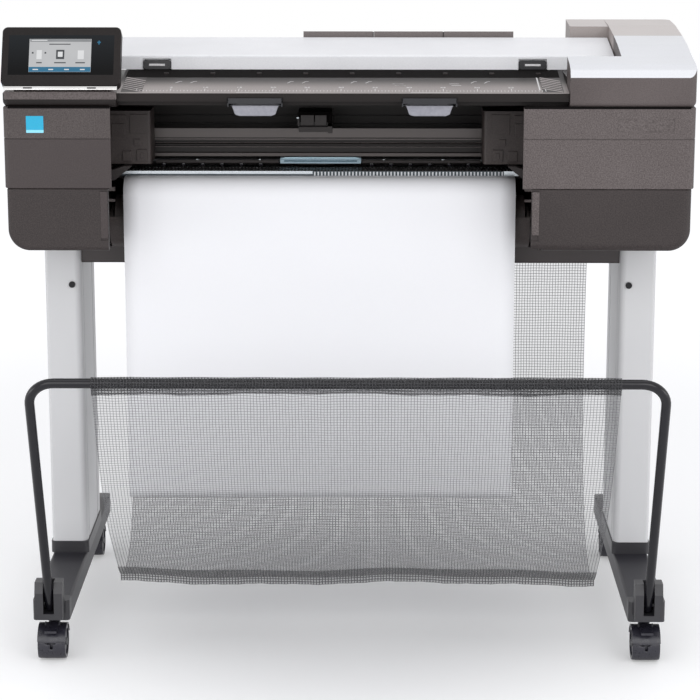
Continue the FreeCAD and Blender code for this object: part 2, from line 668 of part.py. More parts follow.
def side_cover(side, upper):
    """A moulded cover shell. Past the side frame only its front wall goes on, up to the bay."""
    if upper:
        low, high, front = "seam_height + seam_gap / 2", "body_top", "body_front"
        inner = "left_inner" if side < 0 else "right_inner"
        outer = "%d * half_width" % side
    else:
        low, high = "body_bottom", "seam_height - seam_gap / 2"
        front = door_back if side < 0 else "body_front"
        inner = "left_inner - left_step" if side < 0 else "right_inner + right_step"
        outer = "%d * (half_width - outer_step)" % side
    wall = "%s - (%d) * shell" % (outer, side)
    skin = prism("XZ", [(outer, low), (inner, low), (inner, high), (outer, high)], front, "body_back")
    if not upper:
        round_off(skin, "belly_round", on_line(x=outer, z=low))
    if upper or side > 0:
        round_off(skin, "corner_round", on_line(x=outer, y=front))
        ends = (low, high) if upper else (high,)
        round_off(skin, "edge_round", *[on_line(y=front, z=z) for z in ends])
    frame = frame_left + " - frame_plate" if side < 0 else frame_right + " + frame_plate"
    floor, roof = (low + " - 1", high + " - shell") if upper else (low + " + shell", high + " + 1")
    room = prism("XZ", [(wall, floor), (frame, floor), (frame, roof), (wall, roof)],
                 front + " + shell", "body_back - shell")
    if not upper:
        round_off(room, "belly_round - shell", on_line(x=wall, z=floor))
    if upper or side > 0:
        round_off(room, "corner_round - shell", on_line(x=wall, y=front + " + shell"))
    bay_x = (frame, inner + " + 1") if side < 0 else (inner + " - 1", frame)
    bay = box(bay_x, (front + " + shell", "body_back + 1"), (low + " - 1", high + " + 1"))
    tools = [room, bay]
    if upper:
        core_x = "%s - (%d) * trim_depth" % (outer, side)
        core = prism("XZ", [(core_x, low), (inner, low), (inner, high), (core_x, high)],
                     front + " + trim_depth", "body_back - trim_depth")
        round_off(core, "corner_round - trim_depth", on_line(x=core_x, y=front + " + trim_depth"))
        span = (inner, outer + " + 1") if side > 0 else (outer + " - 1", inner)
        ring = box(span, (front + " - 1", "body_back + 1"),
                   ("trim_seam - trim_width / 2", "trim_seam + trim_width / 2"))
        tools.append(cut(ring, core))
    if upper and side > 0:
        tools.append(box(("plate_left", "plate_left + plate_width"), (front + " - 1", front + " + plate_depth"),
                         ("trim_seam + plate_margin", "trim_seam + plate_margin + plate_rise")))
    if not upper and side < 0:
        tools.append(box(("-(half_width - outer_step - belly_round)", frame + " - shell"),
                         (front + " - 1", front + " + shell + 1"),
                         ("body_bottom + shell * 2", "seam_height - shell * 4")))
    if not upper and side > 0:
        tools.append(box((socket_left, socket_left + " + socket_width"),
                         ("body_back - shell - 1", "body_back + 1"),
                         (socket_low, socket_low + " + socket_rise")))
        grip = box((inner, inner + " + 11"), (front + " - 1", front + " + shell / 2"),
                   ("body_bottom + 16", "seam_height - 2"))
        tools.append(grip)
    return cut(skin, *tools)


socket_left = frame_right + " + frame_plate + 40"
socket_low = "body_bottom + 40"


def side_frame(side):
    """The upright plate beside the bay, with the spindle cradle and the mask over the print zone."""
    if side < 0:
        plate_x = (frame_left + " - frame_plate", frame_left)
        mask_x = (frame_left, frame_left + " + left_mask")
        cradle_x = (frame_left, frame_left + " + cradle_width")
    else:
        plate_x = (frame_right, frame_right + " + frame_plate")
        mask_x = (frame_right + " - right_mask", frame_right)
        cradle_x = (frame_right + " - cradle_width", frame_right)
    plate = box(plate_x, (door_back + " + shell", "body_back"), ("body_bottom", "body_top"))
    mask = prism("XZ", [(mask_x[0], "mask_bottom"), (mask_x[1], "mask_bottom"), (mask_x[1], "mask_top"),
                        (mask_x[0], "mask_top")], "mask_front", "mask_front + mask_depth")
    near = mask_x[1] if side < 0 else mask_x[0]
    round_off(mask, "5", on_line(x=near, y="mask_front"))
    boss = rod("X", "boss_radius", cradle_x[0], cradle_x[1], "spindle_y", "spindle_z")
    seat = "journal_radius + running_fit"
    seat_x = [x + (" + 1" if side < 0 else " - 1") for x in cradle_x]
    bore = rod("X", seat, seat_x[0], seat_x[1], "spindle_y", "spindle_z")
    mouth = box(seat_x, ("spindle_y - (%s)" % seat, "spindle_y + " + seat),
                ("spindle_z", "spindle_z + boss_radius + 1"))
    roller_hole = rod("X", "roller_end_radius + running_fit", plate_x[0] + " - 1", plate_x[1] + " + 1",
                      roller_y, roller_z)
    return cut(join(plate, mask, boss), bore, mouth, roller_hole)


roller_y = "platen_back + roller_radius + 1"
roller_z = "platen_top - roller_radius"

pan = box((frame_left, frame_right), ("spindle_y + cover_radius + 6", "body_back"),
          ("body_bottom", "body_bottom + 6"))
node("base_pan", pan)
for name, side in sides:
    node(name + "_side_frame", side_frame(side))
node("back_panel", prism("YZ", [("body_back", "body_bottom + 6"), ("body_back", "body_top"),
                                ("scanner_back + seam_gap", "body_top"),
                                ("scanner_back + seam_gap", "body_top - flat_gap"),
                                ("scanner_back - 20", "body_top - flat_gap"),
                                ("scanner_back - 20", "body_top - shell"),
                                ("body_back - shell", "body_top - shell"),
                                ("body_back - shell", "body_bottom + 6")], frame_left, frame_right))
for name, side in sides:
    node(name + "_upper_cover", side_cover(side, True))
    node(name + "_lower_cover", side_cover(side, False))


def ink_door():
    """The drop-down door over the ink cartridges, a ribbed shell hinged at its bottom front edge."""
    outer, inner = "-(half_width - outer_step)", "left_inner - left_step"
    low, high = "body_bottom", "seam_height - seam_gap / 2"
    skin = prism("XZ", [(outer, low), (inner, low), (inner, high), (outer, high)],
                 "body_front", "body_front + door_depth")
    round_off(skin, "belly_round", on_line(x=outer, z=low))
    round_off(skin, "corner_round * 0.6", on_line(x=outer, y="body_front"))
    round_off(skin, "edge_round", on_line(y="body_front", z=high))
    margin = "belly_round / 2"
    room = box((outer + " + " + margin, inner + " - shell * 5"),
               ("body_front + shell", "body_front + door_depth + 1"),
               (low + " + " + margin, high + " - shell"))
    grip = box((inner + " - 11", inner + " + 1"), ("body_front - 1", "body_front + shell / 2"),
               (low + " + 16", high + " - 2"))
    return node("ink_door", cut(skin, room, grip))


ink_door()


def ink_cartridges():
    """Four upright cartridges side by side behind the door, standing on the cover's floor."""
    first = frame_left + " - frame_plate - 3 - 4 * cartridge_pitch"
    pieces = []
    for i in range(4):
        left = "%s + %d * cartridge_pitch" % (first, i)
        pieces.append(prism("YZ", [(door_back + " + shell + 6", "body_bottom + shell"),
                                   (door_back + " + shell + 6 + cartridge_depth", "body_bottom + shell"),
                                   (door_back + " + shell + 6 + cartridge_depth",
                                    "body_bottom + shell + cartridge_rise"),
                                   (door_back + " + shell + 16", "body_bottom + shell + cartridge_rise"),
                                   (door_back + " + shell + 6", "body_bottom + shell + cartridge_rise - 14")],
                            left, left + " + cartridge_width"))
    return node("ink_cartridges", group(*pieces))


ink_cartridges()


def power_module():
    """The power and control module, with the power inlet and switch opening on its back."""
    left = frame_right + " + frame_plate + module_gap"
    low, back = "body_bottom + shell", "body_back - shell"
    case = box((left, left + " + module_width"), (back + " - module_depth", back),
               (low, low + " + module_rise"))
    plate = box((socket_left, socket_left + " + socket_width"), (back + " - 1", "body_back"),
                (socket_low, socket_low + " + socket_rise"))
    inlet = box((inlet_x + " - inlet_width / 2", inlet_x + " + inlet_width / 2"),
                ("body_back - inlet_depth", "body_back + 1"),
                (socket_z + " - inlet_rise / 2", socket_z + " + inlet_rise / 2"))
    well = box((switch_x + " - switch_width / 2 - switch_gap", switch_x + " + switch_width / 2 + switch_gap"),
               ("body_back - switch_depth - 4 * switch_gap", "body_back + 1"),
               (socket_z + " - switch_rise / 2 - 2 * switch_gap",
                socket_z + " + switch_rise / 2 + 2 * switch_gap"))
    pin = rod("X", "switch_pin", switch_x + " - switch_width / 2 - 2 * switch_gap",
              switch_x + " + switch_width / 2 + 2 * switch_gap", switch_y, socket_z)
    return node("power_module", join(cut(join(case, plate), inlet, well), pin))


socket_z = socket_low + " + socket_rise / 2"
inlet_x = socket_left + " + inlet_inset"
switch_x = socket_left + " + switch_inset"
switch_y = "body_back - switch_depth / 2"


def power_switch():
    """The rocker of the power switch, turning on a pin across its well."""
    rocker = box((switch_x + " - switch_width / 2", switch_x + " + switch_width / 2"),
                 ("body_back - switch_depth", "body_back - switch_gap"),
                 (socket_z + " - switch_rise / 2", socket_z + " + switch_rise / 2"))
    hole = rod("X", "switch_pin + running_fit", switch_x + " - switch_width", switch_x + " + switch_width",
               switch_y, socket_z)
    return node("power_switch", cut(rocker, hole))


power_module()
power_switch()


# ---------------------------------------------------------------- print zone
def platen():
    """The ribbed platen that the paper slides over."""
    plate = box((frame_left, frame_right), ("platen_front", "platen_back"),
                ("platen_top - platen_rise", "platen_top - rib_rise"))
    first = "paper_middle - paper_width / 2 + rib_pitch / 2"
    count = int(value("paper_width / rib_pitch"))
    ribs = [box(("%s + %d * rib_pitch" % (first, i), "%s + %d * rib_pitch + rib_width" % (first, i)),
                ("platen_front", "platen_back - 6"), ("platen_top - rib_rise", "platen_top"))
            for i in range(count)]
    return node("platen", join(plate, *ribs))


lever_pin_y = "lever_y + lever_depth - 2 * lever_pin"
lever_pin_z = "lever_z + lever_rise / 2"


def load_lever():
    """The wide lever that lifts the pinch wheels, turning on the cross shaft."""
    handle = prism("YZ", [("lever_y", "lever_z + 1"), ("lever_y + 4", "lever_z"),
                          ("lever_y + lever_depth", "lever_z"),
                          ("lever_y + lever_depth", "lever_z + lever_rise"),
                          ("lever_y + 3", "lever_z + lever_rise"), ("lever_y", "lever_z + lever_rise - 3")],
                   "paper_middle - lever_width / 2", "paper_middle + lever_width / 2")
    hole = rod("X", "lever_pin + running_fit", "paper_middle - lever_width", "paper_middle + lever_width",
               lever_pin_y, lever_pin_z)
    return node("load_lever", cut(handle, hole))


def feed_roller():
    """The rubber covered feed roller, its thin ends turning in the side frames."""
    body = rod("X", "roller_radius", frame_left + " + 1", frame_right + " - 1", roller_y, roller_z)
    shaft = rod("X", "roller_end_radius", frame_left + " - frame_plate", frame_right + " + frame_plate",
                roller_y, roller_z)
    return node("feed_roller", join(body, shaft))


def carriage():
    """The print head carriage, bored for its rail."""
    x = ("carriage_x - carriage_width / 2", "carriage_x + carriage_width / 2")
    body = prism("YZ", [("carriage_front", "carriage_bottom"), ("carriage_back", "carriage_bottom"),
                        ("carriage_back", "carriage_top"), ("carriage_front + 12", "carriage_top"),
                        ("carriage_front", "carriage_top - 14")], x[0], x[1])
    bore = rod("X", "rail_radius + running_fit", x[0] + " - 1", x[1] + " + 1", "rail_y", "rail_z")
    return node("carriage", cut(body, bore))


def carriage_belt():
    """The toothed belt's loop and its two pulleys, whose pins stand on the beam."""
    y = ("belt_y - belt_width / 2", "belt_y + belt_width / 2")
    ends = (frame_left + " + 30", frame_right + " - 30")

    def loop(radius, more):
        low, high = y[0] + " - " + more, y[1] + " + " + more
        return join(box(ends, (low, high), ("belt_z - (%s)" % radius, "belt_z + " + radius)),
                    *[rod("Y", radius, low, high, end, "belt_z") for end in ends])

    belt = cut(loop("pulley_radius", "0"), loop("(pulley_radius - belt_wall)", "1"))
    pulleys = [join(rod("Y", "pulley_radius - belt_wall", y[0], y[1], end, "belt_z"),
                    rod("Y", "2.5", y[0], "beam_front", end, "belt_z")) for end in ends]
    return node("carriage_belt", group(belt, *pulleys))


platen()
guide_low = "platen_top + soft_gap + sheet_wall"
node("exit_guide", prism("YZ", [("guide_front", guide_low), ("guide_front + guide_wall", guide_low),
                                ("guide_front + guide_wall * 2", guide_low + " + guide_gap"),
                                ("guide_front + guide_depth", guide_low + " + guide_gap"),
                                ("guide_front + guide_depth", "platen_top + guide_rise - guide_gap"),
                                ("guide_front + guide_depth - guide_wall * 2", "platen_top + guide_rise"),
                                ("guide_front", "platen_top + guide_rise")], frame_left, frame_right))
load_lever()
feed_roller()
beam_outline = [("beam_front", "beam_bottom"), ("beam_front + beam_depth", "beam_bottom"),
                ("beam_front + beam_depth", "beam_top"), ("beam_front - 5", "beam_top"),
                ("beam_front - 5", "beam_top - 10"), ("beam_front", "beam_top - 10")]
guard_back = "guard_front + guard_depth"
guard_inner = "guard_front + guard_fold"
guard_outline = [("guard_front", "guard_top"), (guard_back, "guard_top"), (guard_back, "guard_bottom"),
                 ("guard_front", "guard_bottom"), ("guard_front", "guard_bottom + guard_fold * 2"),
                 (guard_inner, "guard_bottom + guard_fold * 3"),
                 (guard_inner, "guard_top - guard_band - guard_fold * 3"),
                 ("guard_front", "guard_top - guard_band - guard_fold * 2"),
                 ("guard_front", "guard_top - guard_band - guard_fold"),
                 (guard_inner, "guard_top - guard_band"), ("guard_front", "guard_top - guard_band + guard_fold")]
node("carriage_beam", group(prism("YZ", beam_outline, frame_left, frame_right),
                            prism("YZ", guard_outline, frame_left, frame_right)))
node("cross_rods", group(rod("X", "rail_radius", frame_left, frame_right, "rail_y", "rail_z"),
                         rod("X", "lever_pin", frame_left, frame_right, lever_pin_y, lever_pin_z)))
carriage()
carriage_belt()


# ---------------------------------------------------------------- roll
roll_half = "paper_width / 2"


def roll_spindle():
    """The spindle tube with its two flanged hubs and the ends that lie in the cradles."""
    pieces = [rod("X", "spindle_radius", "paper_middle - %s" % roll_half, "paper_middle + %s" % roll_half,
                  "spindle_y", "spindle_z"),
              rod("X", "journal_radius", frame_left + " + 1.3", frame_right + " - 1.3", "spindle_y", "spindle_z")]
    for out in (-1, 1):
        spans = (("hub_radius", roll_half, roll_half + " + hub_width"),
                 ("core_radius", roll_half + " - 22", roll_half + " + hub_width"))
        for radius, a, b in spans:
            near, far = "paper_middle + %d * (%s)" % (out, a), "paper_middle + %d * (%s)" % (out, b)
            low, high = (near, far) if out > 0 else (far, near)
            pieces.append(rod("X", radius, low, high, "spindle_y", "spindle_z"))
    return node("roll_spindle", join(*pieces))


def paper_roll():
    """The wound paper on its core, between the hub flanges."""
    low, high = "paper_middle - " + roll_half, "paper_middle + " + roll_half
    return node("paper_roll", cut(rod("X", "roll_radius", low, high, "spindle_y", "spindle_z"),
                                  rod("X", "core_radius", low + " - 1", high + " + 1", "spindle_y", "spindle_z")))


def roll_cover():
    """The curved cover round the front of the roll; its two arms turn on the cradle bosses."""
    half = "(bay_half - cradle_width + cover_arm + 1)"
    low, high = "paper_middle - " + half, "paper_middle + " + half
    sweep = "90 + cover_top_angle"

    def sector(radius, a, b):
        piece = rod("X", radius, a, b, "spindle_y", "spindle_z")
        bind(piece, Angle=sweep)
        piece.Placement = Placement(Vector(), turns["X"] * Rotation(Vector(0, 0, 1), -value(sweep)))
        move(piece, a, "spindle_y", "spindle_z")
        return piece

    shell = cut(sector("cover_radius", low, high),
                rod("X", "cover_radius - cover_wall", low + " + cover_arm", high + " - cover_arm",
                    "spindle_y", "spindle_z"))
    rings = [rod("X", "boss_radius + 6", a, b, "spindle_y", "spindle_z")
             for a, b in ((low, low + " + cover_arm"), (high + " - cover_arm", high))]
    bore = rod("X", "boss_radius + running_fit", low + " - 1", high + " + 1", "spindle_y", "spindle_z")
    return node("roll_cover", cut(join(shell, *rings), bore))


def paper_sheet():
    """The printed sheet: out over the platen edge, round its curl and straight down."""
    wall, hang = value("sheet_wall"), value("sheet_hang_y")
    lift = value("platen_top + soft_gap") + wall / 2
    curl = value("sheet_curl")
    start = Vector(0, value(roller_y), lift)
    bend = Vector(0, hang + curl, lift)
    turn = Vector(0, hang + curl * (1 - cos(radians(45))), lift - curl * (1 - sin(radians(45))))
    drop = Vector(0, hang, lift - curl)
    end = Vector(0, hang, value("sheet_end"))
    path = Part.Wire([Part.LineSegment(start, bend).toShape(), Part.Arc(bend, turn, drop).toShape(),
                      Part.LineSegment(drop, end).toShape()])
    shape = path.makeOffset2D(wall / 2, 0, True, True, False).extrude(Vector(value("paper_width"), 0, 0))
    sheet = doc.addObject("Part::Feature", "sheet")
    sheet.Shape = shape
    sheet.Placement = Placement(Vector(value("paper_middle") - value("paper_width") / 2, 0, 0), Rotation())
    return node("paper_sheet", sheet)


roll_spindle()
paper_roll()
roll_cover()
paper_sheet()


# ---------------------------------------------------------------- scanner
lid_bottom = "bed_height + lid_gap"
roller_bed_z = "bed_height - scan_roller_radius"
channel = ("tray_left + 8", "tray_right - 8")


def scanner_base():
    """The scanner's lower housing: input tray, scan bed, left end and the deck behind the lid."""
    tray = prism("YZ", [("tray_front", "body_top + lip_under"),
                        ("tray_front", "body_top + lip_under + lip_rise - 4"),
                        ("lid_front - 8", "bed_height"), ("scanner_back", "bed_height"),
                        ("scanner_back", "body_top"), ("tray_front + 22", "body_top"),
                        ("tray_front + 22", "body_top + lip_under")],
                 "tray_left", "cap_left - seam_gap")
    bed = box(("cap_left - seam_gap", "cap_step - seam_gap"), ("cap_notch + seam_gap", "scanner_back"),
              ("body_top", "bed_height"))
    deck = box(("tray_left", "cap_step - seam_gap"), ("lid_back + 1", "scanner_back"),
               ("bed_height - 1", "body_top + deck_rise"))
    left = prism("XY", [("-half_width", "body_front"), ("tray_left", "body_front"),
                        ("tray_left", "scanner_back"), ("-half_width", "scanner_back")],
                 "body_top", "left_cap_top")
    round_off(left, "corner_round", on_line(x="-half_width", y="body_front"))
    round_off(left, "end_round", on_line(y="body_front", z="body_top"), on_line(x="-half_width", z="body_top"))
    round_off(left, "3", on_line(y="body_front", z="left_cap_top"))
    trough = box(channel, ("scan_roller_y - scan_roller_radius - 1", "scan_roller_y + scan_roller_radius + 1"),
                 (roller_bed_z + " - scan_roller_radius - 2", "bed_height + 1"))
    ends = rod("X", "scan_shaft_radius + running_fit", "tray_left + 2", "tray_right - 2",
               "scan_roller_y", roller_bed_z)
    seat = box(channel, ("glass_front", "glass_front + glass_depth"),
               ("bed_height - glass_wall", "bed_height + 1"))
    return node("scanner_base", cut(join(tray, bed, deck, left), trough, ends, seat))


def scan_lid():
    """The lid over the scan bed, hinged along its top back edge, with a recess for each latch."""
    skin = prism("YZ", [("lid_front", lid_bottom), ("lid_front", lid_bottom + " + lid_front_rise"),
                        ("lid_back", lid_bottom + " + lid_back_rise"), ("lid_back", lid_bottom)],
                 "lid_left", "lid_right")
    round_off(skin, "2.5", on_line(y="lid_front", z=lid_bottom + " + lid_front_rise"))
    room = box(("lid_left + lid_wall", "lid_right - lid_wall"),
               ("lid_front + latch_depth + lid_wall", "lid_back - lid_wall"),
               (lid_bottom + " - 1", lid_bottom + " + lid_front_rise - lid_wall"))
    wells = [box((x + " - latch_width / 2 - seam_gap", x + " + latch_width / 2 + seam_gap"),
                 ("lid_front - 1", "lid_front + latch_depth - 3 + seam_gap"),
                 (lid_bottom + " - 1", lid_bottom + " + latch_rise + latch_gap")) for x in latch_x]
    return node("scan_lid", cut(skin, room, *wells))


latch_x = ["latch_middle - latch_spacing / 2", "latch_middle + latch_spacing / 2"]


def lid_latch(name, x):
    """A lid latch: a rounded finger tab that swings out from its top back edge."""
    low = lid_bottom + " + seam_gap"
    tab = prism("XZ", [(x + " - latch_width / 2", low), (x + " + latch_width / 2", low),
                       (x + " + latch_width / 2", lid_bottom + " + latch_rise"),
                       (x + " - latch_width / 2", lid_bottom + " + latch_rise")],
                "lid_front - 3", "lid_front - 3 + latch_depth")
    corners = [on_line(x=x + " %s latch_width / 2" % s, z=z) for s in "+-"
               for z in (low, lid_bottom + " + latch_rise")]
    return node(name, round_off(tab, "4", *corners))


def deflector(name, x):
    """A clear paper deflector that hangs from the tray's lip on its hinge barrel."""
    z = "body_top + lip_under - deflector_barrel - flat_gap"
    low, high = x + " - deflector_width / 2", x + " + deflector_width / 2"
    barrel = rod("X", "deflector_barrel", low, high, "deflector_y", z)
    blade = box((low + " + 2", high + " - 2"), ("deflector_y - blade / 2", "deflector_y + blade / 2"),
                (z + " - deflector_drop", z))
    return node(name, join(barrel, blade))


def right_top_cap():
    """The scanner's right end: an upright front, a rounded shoulder and a rising top, stepped round the lid."""
    front = prism("YZ", [("body_front", "body_top"), ("body_front", "cap_front_top"),
                         ("body_front + 7", "cap_front_top + cap_shoulder"),
                         ("body_front + 28", "cap_front_top + cap_shoulder * 1.6"),
                         ("cap_notch", "cap_notch_top"), ("cap_notch", "body_top")],
                  "cap_left", "half_width")
    round_off(front, "corner_round", on_line(x="half_width", y="body_front"))
    round_off(front, "end_round", on_line(y="body_front", z="body_top"), on_line(x="half_width", z="body_top"))
    back = prism("YZ", [("cap_notch", "body_top"), ("cap_notch", "cap_notch_top"),
                        ("(cap_notch + cap_seam) / 2", "(cap_notch_top + cap_seam_top) / 2 + 2"),
                        ("cap_seam", "cap_seam_top"), ("cap_seam", "body_top")],
                 "cap_step", "half_width")
    round_off(back, "end_round", on_line(x="half_width", z="body_top"))
    return node("right_top_cap", join(front, back))


def raised_back_cover():
    """The raised cover behind the right cap, with a wing behind the lid's end."""
    main = prism("YZ", [("cap_seam + seam_gap", "body_top"), ("cap_seam + seam_gap", "cap_seam_top"),
                        ("cap_seam + 90", "hump_top - 2"), ("hump_back", "hump_top"),
                        ("hump_back", "body_top")], "cap_step", "half_width")
    round_off(main, "corner_round", on_line(x="half_width", y="hump_back"))
    round_off(main, "end_round", on_line(x="half_width", z="body_top"))
    wing = prism("YZ", [("lid_back + 7", "body_top + deck_rise"), ("lid_back + 7", "hump_top - 4"),
                        ("hump_back", "hump_top"), ("hump_back", "body_top + deck_rise")],
                 "wing_left", "cap_step")
    return node("raised_back_cover", join(main, wing))


def sheet_support():
    """The fold-back flap behind the lid that guides sheets out, in three sections."""
    flap = box(("support_left", "support_right"), ("lid_back + 6", "lid_back + 6 + support_wall"),
               ("body_top + deck_rise + flat_gap", "body_top + deck_rise + support_rise"))
    step = "(support_right - support_left) / 3"
    slots = [box(("support_left + %d * %s - 1" % (i, step), "support_left + %d * %s + 1" % (i, step)),
                 ("lid_back", "lid_back + 20"), ("body_top + deck_rise + 8",
                                                 "body_top + deck_rise + support_rise + 1"))
             for i in (1, 2)]
    return node("sheet_support", cut(flap, *slots))


scanner_base()
node("scan_glass", box(channel, ("glass_front", "glass_front + glass_depth"),
                       ("bed_height - glass_wall", "bed_height")))
node("document_roller", join(
    rod("X", "scan_roller_radius", channel[0] + " + 1", channel[1] + " - 1", "scan_roller_y", roller_bed_z),
    rod("X", "scan_shaft_radius", "tray_left + 3", "tray_right - 3", "scan_roller_y", roller_bed_z)))
scan_lid()
for (name, _), x in zip(sides, latch_x):
    lid_latch(name + "_lid_latch", x)
for name, side in sides:
    deflector(name + "_deflector", "deflector_middle + %d * deflector_spacing / 2" % side)
right_top_cap()
raised_back_cover()
sheet_support()


# ---------------------------------------------------------------- control panel
panel_width = "(panel_right + half_width)"
panel_lean = Rotation(Vector(1, 0, 0), -value("panel_tilt"))
boss_left, boss_right = "-half_width + lug_inset + lug", "panel_right - lug_inset - lug"


def panel_bracket():
    """The foot plate and two lugs that carry the control panel on its hinge pin."""
    plate = box(("-half_width + lug_inset", "panel_right - lug_inset"),
                ("tilt_y - hinge_front", "tilt_y + hinge_back"), ("left_cap_top", "left_cap_top + hinge_plate"))
    lugs = [box(x, ("tilt_y - lug_half", "tilt_y + hinge_front"), ("left_cap_top", "tilt_z + lug_half"))
            for x in (("-half_width + lug_inset", boss_left), (boss_right, "panel_right - lug_inset"))]
    pin = rod("X", "tilt_pin", "-half_width + lug_inset", "panel_right - lug_inset", "tilt_y", "tilt_z")
    return node("panel_bracket", join(plate, *lugs, pin))


def leaned(thing):
    thing.Placement = Placement(Vector(), panel_lean)
    move(thing, "-half_width", "panel_front", "panel_bottom")
    return thing


def control_panel():
    """The panel's housing, a rounded slab leaning back, with its hinge boss behind."""
    slab = prism("XZ", [("0", "0"), (panel_width, "0"), (panel_width, "panel_slant"), ("0", "panel_slant")],
                 "0", "panel_depth")
    round_off(slab, "panel_round", *[on_line(x=x, z=z) for x in ("0", panel_width) for z in ("0", "panel_slant")])
    seat = box((screen_left, screen_left + " + screen_width"), ("-1", "screen_depth"),
               (screen_low, screen_low + " + screen_rise"))
    slab = leaned(cut(slab, seat))
    boss = rod("X", "tilt_boss", boss_left + " + flat_gap", boss_right + " - flat_gap", "tilt_y", "tilt_z")
    hole = rod("X", "tilt_pin + running_fit", "-half_width", "panel_right", "tilt_y", "tilt_z")
    return node("control_panel", cut(join(slab, boss), hole))


screen_left = "(%s - screen_width) / 2" % panel_width
screen_low = "(panel_slant - screen_rise) / 2 + 2"
panel_bracket()
control_panel()
node("panel_screen", leaned(prism("XZ", [(screen_left, screen_low), (screen_left + " + screen_width", screen_low),
                                         (screen_left + " + screen_width", screen_low + " + screen_rise"),
                                         (screen_left, screen_low + " + screen_rise")], "0", "screen_depth")))


# ---------------------------------------------------------------- check and export
def export():
    for thing in doc.Objects:
        if "Invalid" in thing.State or "Error" in thing.State:
            raise SystemExit("%s failed: %s" % (thing.Label, thing.State))
    for thing in nodes:
        if thing.Shape.isNull() or not thing.Shape.isValid():
            raise SystemExit("%s has no valid shape" % thing.Label)
    os.makedirs("parts", exist_ok=True)
    for thing in nodes:
        thing.Shape.exportStep("parts/%s.step" % thing.Label)
        print("%-28s solids %d volume %.0f" % (thing.Label, len(thing.Shape.Solids), thing.Shape.Volume))


doc.recompute()
export()
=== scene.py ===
import bpy, bmesh, math, random
from mathutils import Matrix, Vector


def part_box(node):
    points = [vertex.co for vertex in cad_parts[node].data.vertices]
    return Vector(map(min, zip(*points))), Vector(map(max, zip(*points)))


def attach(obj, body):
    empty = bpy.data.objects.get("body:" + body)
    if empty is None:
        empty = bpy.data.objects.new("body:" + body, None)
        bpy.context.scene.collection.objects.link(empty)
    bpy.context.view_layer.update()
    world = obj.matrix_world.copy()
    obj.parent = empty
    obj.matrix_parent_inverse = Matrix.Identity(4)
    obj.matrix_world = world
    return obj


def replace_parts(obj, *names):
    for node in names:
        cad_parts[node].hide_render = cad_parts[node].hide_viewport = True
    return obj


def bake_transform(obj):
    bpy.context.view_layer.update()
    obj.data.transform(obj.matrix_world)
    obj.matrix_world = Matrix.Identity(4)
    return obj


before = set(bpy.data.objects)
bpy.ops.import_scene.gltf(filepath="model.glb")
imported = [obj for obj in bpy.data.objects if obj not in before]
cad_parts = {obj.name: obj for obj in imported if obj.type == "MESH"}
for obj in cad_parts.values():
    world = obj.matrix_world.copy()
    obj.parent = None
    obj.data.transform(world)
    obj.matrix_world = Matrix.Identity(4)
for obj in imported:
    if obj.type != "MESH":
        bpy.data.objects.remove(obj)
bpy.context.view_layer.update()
MM = 0.001  # sizes are written in millimetres, and Blender takes metres


# ---------------------------------------------------------------- camera, floor and light
# A studio with a white painted floor and a white backdrop, lit by soft boxes. The camera stands well
# back at chest height and looks a little down.
def placed(name, data):
    """An object in the scene that shows the given mesh, lamp or camera."""
    thing = bpy.data.objects.new(name, data)
    bpy.context.collection.objects.link(thing)
    return thing


eye = bpy.data.cameras.new("camera")
eye.sensor_width, eye.lens = 36, 122.6
camera = placed("camera", eye)
looks_down, looks_left = 12.86, 0.55  # degrees
camera.location = (0.0347, -3.597, 1.257)
camera.rotation_euler = (math.radians(90 - looks_down), 0, math.radians(looks_left))
bpy.context.scene.camera = camera


def linear(code):
    """The linear colour of an sRGB hex code."""
    parts = [int(code[i:i + 2], 16) / 255 for i in (1, 3, 5)]
    return [c / 12.92 if c <= 0.04045 else ((c + 0.055) / 1.055) ** 2.4 for c in parts] + [1.0]


def add(tree, kind, settings=None, inputs=None):
    """One node of a material: its settings, then its inputs, each a value, a hex colour, a socket to link,
    or a node, which gives its first output that is in use."""
    node = tree.nodes.new("ShaderNode" + kind)
    for name, value in (settings or {}).items():
        setattr(node, name, value)
    for name, value in (inputs or {}).items():
        if isinstance(value, bpy.types.Node):
            value = next(output for output in value.outputs if output.enabled)
        if isinstance(value, bpy.types.NodeSocket):
            tree.links.new(value, node.inputs[name])
        else:
            node.inputs[name].default_value = linear(value) if isinstance(value, str) else value
    return node


def material(name):
    """An empty node material, its tree, and the place on the object that its patterns are drawn from."""
    made = bpy.data.materials.new(name)
    made.use_nodes = True
    made.node_tree.nodes.clear()
    return made, made.node_tree, add(made.node_tree, "TexCoord").outputs["Object"]


def finish(tree, shader):
    """Puts the last shader node on the surface."""
    add(tree, "OutputMaterial", inputs={"Surface": shader})


def seen_directly(tree):
    """1 where the camera sees something itself, in a gloss or through glass, 0 where it only gives light."""
    path = add(tree, "LightPath")
    seen = path.outputs["Is Camera Ray"]
    for other in ("Is Glossy Ray", "Is Transmission Ray"):
        seen = add(tree, "Math", {"operation": "MAXIMUM"}, {0: seen, 1: path.outputs[other]})
    return seen


